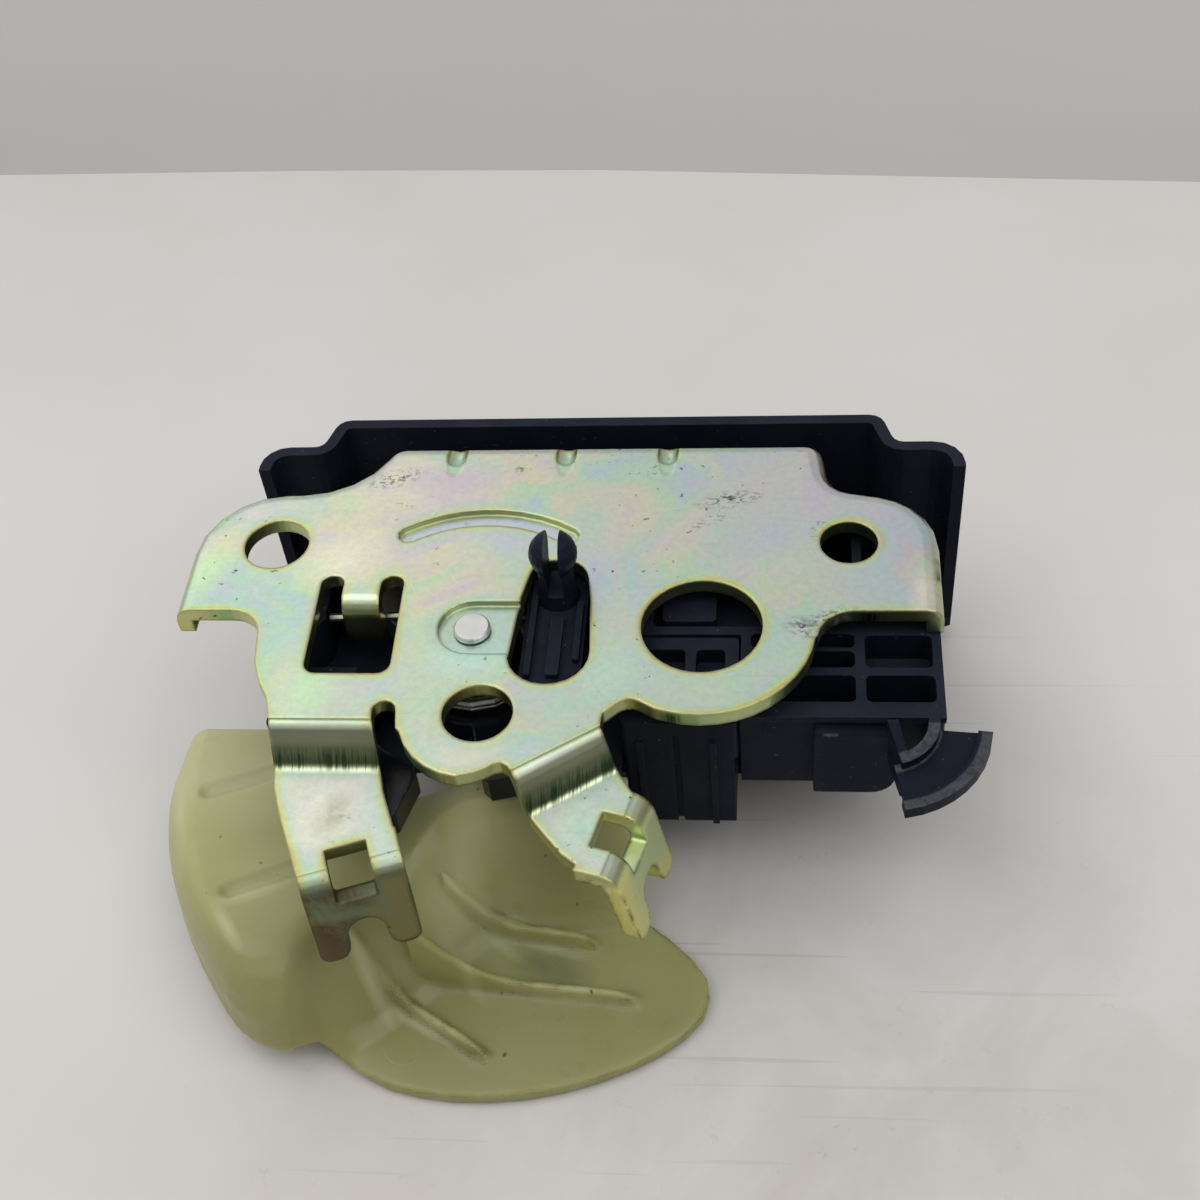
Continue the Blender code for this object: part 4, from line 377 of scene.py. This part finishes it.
def cream():
    """Pale yellow-green translucent plastic: darker low down and toward the front as painted shade, lighter
    toward the back, along the rib crests and in one spot as painted highlights, with a painted shade patch
    between the plate's legs, dirty along its rim, with a few dark specks.
    """
    t = Tree("pale_green_plastic")
    flow = t.span(t.noise(22, 3, 0.5, 0.8), 0.3, 0.7)
    colour = t.mix(flow, (0.39, 0.395, 0.165), (0.475, 0.485, 0.235))
    height = t.part(t.place, 2)
    # lighter toward the back, up to the panel's top edge: a painted highlight
    colour = t.mix(t.span(t.part(t.place, 1), -0.040, -0.030, 0.0, 0.5), colour, (0.66, 0.67, 0.42))
    # darker and more saturated low on the left lobe: painted shade on its wall
    low_left_shade = t.math("MULTIPLY", t.span(height, -0.020, -0.038), t.span(t.part(t.place, 0), -0.026, -0.034))
    colour = t.mix(t.math("MULTIPLY", low_left_shade, 0.45), colour, (0.36, 0.33, 0.10))
    # darker toward the front: painted shade
    front_shade = t.span(t.part(t.place, 1), -0.046, -0.060, 0.0, 0.62)
    colour = t.mix(front_shade, colour, (0.235, 0.225, 0.080))
    # painted highlight spot on the panel
    sheen_spot = t.math("MULTIPLY", t.spot(-14.5, -45.5, 4.5, 0.9, 2.4, 65), 0.75)
    colour = t.mix(sheen_spot, colour, (0.68, 0.68, 0.38))
    # painted shade in the hollow between the plate's legs
    pocket = t.math("MULTIPLY", t.spot(2.5, -37.0, 7.5, 0.9, 1.6, 10), 0.75)
    colour = t.mix(pocket, colour, (0.10, 0.095, 0.022))
    # painted highlights along the rib crests
    for at_x, at_y, radius, stretch, turn in CREST_HIGHLIGHTS:
        patch = t.math("MULTIPLY", t.spot(at_x, at_y, radius, 0.9, stretch, turn), 0.45)
        colour = t.mix(patch, colour, (0.66, 0.67, 0.42))
    stain = t.math("MULTIPLY", t.spot(-0.3, -51.9, 4.4, 0.8, 1.9, -16),
                   t.span(t.noise(110, 4, 0.6), 0.35, 0.65, 0.4, 0.9))
    colour = t.mix(t.math("MULTIPLY", stain, 0.85), colour, (0.055, 0.075, 0.062))
    grime = t.math("MULTIPLY", t.span(t.noise(300, 5, 0.7), 0.55, 0.72), t.span(t.noise(35, 2, 0.5), 0.45, 0.65))
    colour = t.mix(t.math("MULTIPLY", grime, 0.25), colour, (0.16, 0.14, 0.08))
    edge = t.math("MULTIPLY", t.span(t.near_edge(1.0), 0.10, 0.50), t.span(t.noise(240, 4, 0.7), 0.42, 0.62))
    edge = t.math("MULTIPLY", edge, t.span(height, -0.032, -0.037))
    colour = t.mix(t.math("MULTIPLY", edge, 0.75), colour, (0.11, 0.09, 0.03))
    specks = t.span(t.noise(520, 1, 0.5, offset=(2, 2, 2)), 0.785, 0.800, 0.0, 0.6)
    for x, y, radius in DOTS:
        specks = t.math("MAXIMUM", specks, t.spot(x, y, radius, 0.5, 1.4, x * 20))
    colour = t.mix(specks, colour, (0.10, 0.08, 0.04))
    pads = None
    for x, y, radius in PADS:
        disc = t.spot(x, y, radius, 0.08)
        pads = disc if pads is None else t.math("MAXIMUM", pads, disc)
    relief = t.math("ADD", t.math("MULTIPLY", t.noise(900, 2, 0.5), 0.2),
                    t.math("MULTIPLY", t.noise(120, 2, 0.5), 0.5))
    t.bump(t.math("ADD", relief, pads), 0.20, 0.15, edge=0.5)
    rough = t.span(t.noise(200, 3, 0.5), 0.3, 0.7, 0.30, 0.44)
    return t.finish(colour, rough, 0.0, Subsurface_Weight=0.55, Subsurface_Scale=0.008,
                    Subsurface_Radius=(1.0, 0.9, 0.35))


def plain(name, low, high, rough, metal=0.0):
    """A softly mottled even surface, for the small parts."""
    t = Tree(name)
    colour = t.mix(t.span(t.noise(160, 4, 0.6), 0.3, 0.7), low, high)
    t.bump(t.noise(800, 2, 0.5), 0.08, 0.05, edge=0.2)
    return t.finish(colour, t.span(t.noise(240, 3, 0.5), 0.3, 0.7, rough - 0.05, rough + 0.08), metal)


LOOKS = {
    "yellow_zinc": zinc(),
    "bright_steel": steel("bright_steel", (0.80, 0.80, 0.79), 0.42),
    "spring_steel": steel("spring_steel", (0.52, 0.50, 0.46), 0.30),
    "black_plastic": black("black_plastic", 1.0),
    "coated_black": coated(),
    "pale_green_plastic": cream(),
    "natural_nylon": plain("natural_nylon", (0.66, 0.62, 0.50), (0.74, 0.71, 0.60), 0.4),
    "brass": plain("brass", (0.70, 0.52, 0.20), (0.78, 0.60, 0.28), 0.28, 1.0),
    "rubber": plain("rubber", (0.012, 0.012, 0.012), (0.03, 0.03, 0.03), 0.75),
}
for row in frame["record"]["subparts"]:
    node = frame["nodes"][row["node"]]
    node.data.materials.clear()
    node.data.materials.append(LOOKS[row["material_slot"]])
    node.data.shade_smooth()
    node.data.set_sharp_from_angle(angle=SHARP_ANGLE)


# The handle's moulded softness: an even mesh whose corners and rib feet are rounded

handle = frame["nodes"]["release_handle"]
even = handle.modifiers.new("even", "REMESH")
even.mode = "VOXEL"
even.voxel_size = HANDLE_GRID * MM
even.use_smooth_shade = True
soft = handle.modifiers.new("soft", "SMOOTH")
soft.factor = 0.5
soft.iterations = 5


# Camera, floor and light

def look():
    scene = bpy.context.scene
    data = bpy.data.cameras.new("camera")
    data.lens = LENS
    data.sensor_width = SENSOR
    data.clip_start = 0.01
    camera = bpy.data.objects.new("camera", data)
    right = Vector(CAMERA_RIGHT)
    up = Vector(CAMERA_UP)
    turn = Matrix((right, up, right.cross(up))).transposed().to_4x4()
    camera.matrix_world = Matrix.Translation(Vector(CAMERA_AT) * MM) @ turn
    scene.collection.objects.link(camera)
    scene.camera = camera
    scene.view_settings.view_transform = "Standard"

    ground = Tree("floor")
    cloudy = ground.span(ground.noise(9, 4, 0.6), 0.3, 0.7)
    pale = ground.mix(cloudy, (0.735, 0.712, 0.685), (0.790, 0.775, 0.755))
    smoky = ground.math("MULTIPLY", ground.span(ground.noise(24, 5, 0.65, 0.6), 0.38, 0.66),
                        ground.spot(35, -65, 75, 0.8, 1.5))
    pale = ground.mix(ground.math("MULTIPLY", smoky, 0.42), pale, (0.44, 0.40, 0.38))
    corner = ground.math("MULTIPLY", ground.spot(-20, -100, 70, 0.9, 1.8), 0.22)
    pale = ground.mix(corner, pale, (0.52, 0.44, 0.38))
    lines = ground.span(ground.noise(700, 1, 0.5, 0.3, stretch=(0.02, 1, 1), turn=-50), 0.69, 0.71)
    lines = ground.math("MULTIPLY", lines, ground.spot(20, -30, 110, 0.8))
    pale = ground.mix(ground.math("MULTIPLY", lines, 0.30), pale, (0.40, 0.38, 0.36))
    dirt = ground.math("MULTIPLY", ground.span(ground.noise(300, 4, 0.75), 0.62, 0.72),
                       ground.span(ground.noise(28, 2, 0.5, offset=(4, 0, 0)), 0.46, 0.62))
    dirt = ground.math("MULTIPLY", dirt, ground.spot(35, -65, 75, 0.8, 1.5))
    pale = ground.mix(ground.math("MULTIPLY", dirt, 0.45), pale, (0.30, 0.25, 0.22))
    ground.bump(ground.noise(700, 3, 0.6), 0.06, 0.1)
    ground.finish(pale, 0.42)
    wall = Tree("backdrop")
    fade = wall.ramp(wall.span(wall.part(wall.place, 2), FLOOR_Z, FLOOR_Z + 0.09),
                     [(0.0, (0.56, 0.545, 0.535)), (0.3, (0.60, 0.58, 0.575)), (0.7, (0.66, 0.625, 0.635)),
                      (1.0, (0.72, 0.665, 0.69))], smooth=True)
    haze = wall.span(wall.noise(12, 4, 0.6, stretch=(0.3, 1, 1)), 0.3, 0.7, 0.0, 0.4)
    wall.finish(wall.mix(haze, fade, (0.66, 0.62, 0.62)), 0.5)
    foot = [Vector((x * MM, y * MM, FLOOR_Z)) for x, y in WALL_FOOT]
    lean = Vector(WALL_LEAN)
    count = len(foot)
    strip = [(i, i + 1, count + i + 1, count + i) for i in range(count - 1)]
    square = [(x * FLOOR_REACH, y * FLOOR_REACH, FLOOR_Z) for x, y in ((-1, -1), (1, -1), (1, 1), (-1, 1))]
    stages = [("floor", ground.material, square, [(0, 1, 2, 3)]),
              ("backdrop", wall.material, foot + [point + lean for point in foot], strip)]
    for name, material, corners, faces in stages:
        mesh = bpy.data.meshes.new(name)
        mesh.from_pydata(corners, [], faces)
        mesh.materials.append(material)
        item = bpy.data.objects.new(name, mesh)
        scene.collection.objects.link(item)

    world = bpy.data.worlds.new("studio")
    scene.world = world
    world.use_nodes = True
    nodes = world.node_tree.nodes
    links = world.node_tree.links
    place = nodes.new("ShaderNodeTexCoord")
    towards = nodes.new("ShaderNodeVectorMath")
    towards.operation = "DOT_PRODUCT"
    links.new(place.outputs["Generated"], towards.inputs[0])
    towards.inputs[1].default_value = Vector(BRIGHT_SIDE).normalized()
    share = nodes.new("ShaderNodeMath")
    share.operation = "MULTIPLY_ADD"
    links.new(towards.outputs["Value"], share.inputs[0])
    share.inputs[1].default_value = 0.5
    share.inputs[2].default_value = 0.5
    band = nodes.new("ShaderNodeValToRGB")
    while len(band.color_ramp.elements) < len(SKY):
        band.color_ramp.elements.new(0.5)
    for element, (at, tone) in zip(band.color_ramp.elements, SKY):
        element.position = at
        element.color = (tone, tone * 0.995, tone * 0.985, 1.0)
    links.new(share.outputs[0], band.inputs[0])
    links.new(band.outputs[0], nodes["Background"].inputs["Color"])
    nodes["Background"].inputs["Strength"].default_value = 1.0

    for name, where, size, power in LAMPS:
        lamp = bpy.data.lights.new(name, "AREA")
        lamp.size = size
        lamp.energy = power
        item = bpy.data.objects.new(name, lamp)
        item.location = where
        towards_part = Vector((0, -0.02, 0)) - Vector(where)
        item.rotation_euler = towards_part.to_track_quat("-Z", "Y").to_euler()
        scene.collection.objects.link(item)


look()
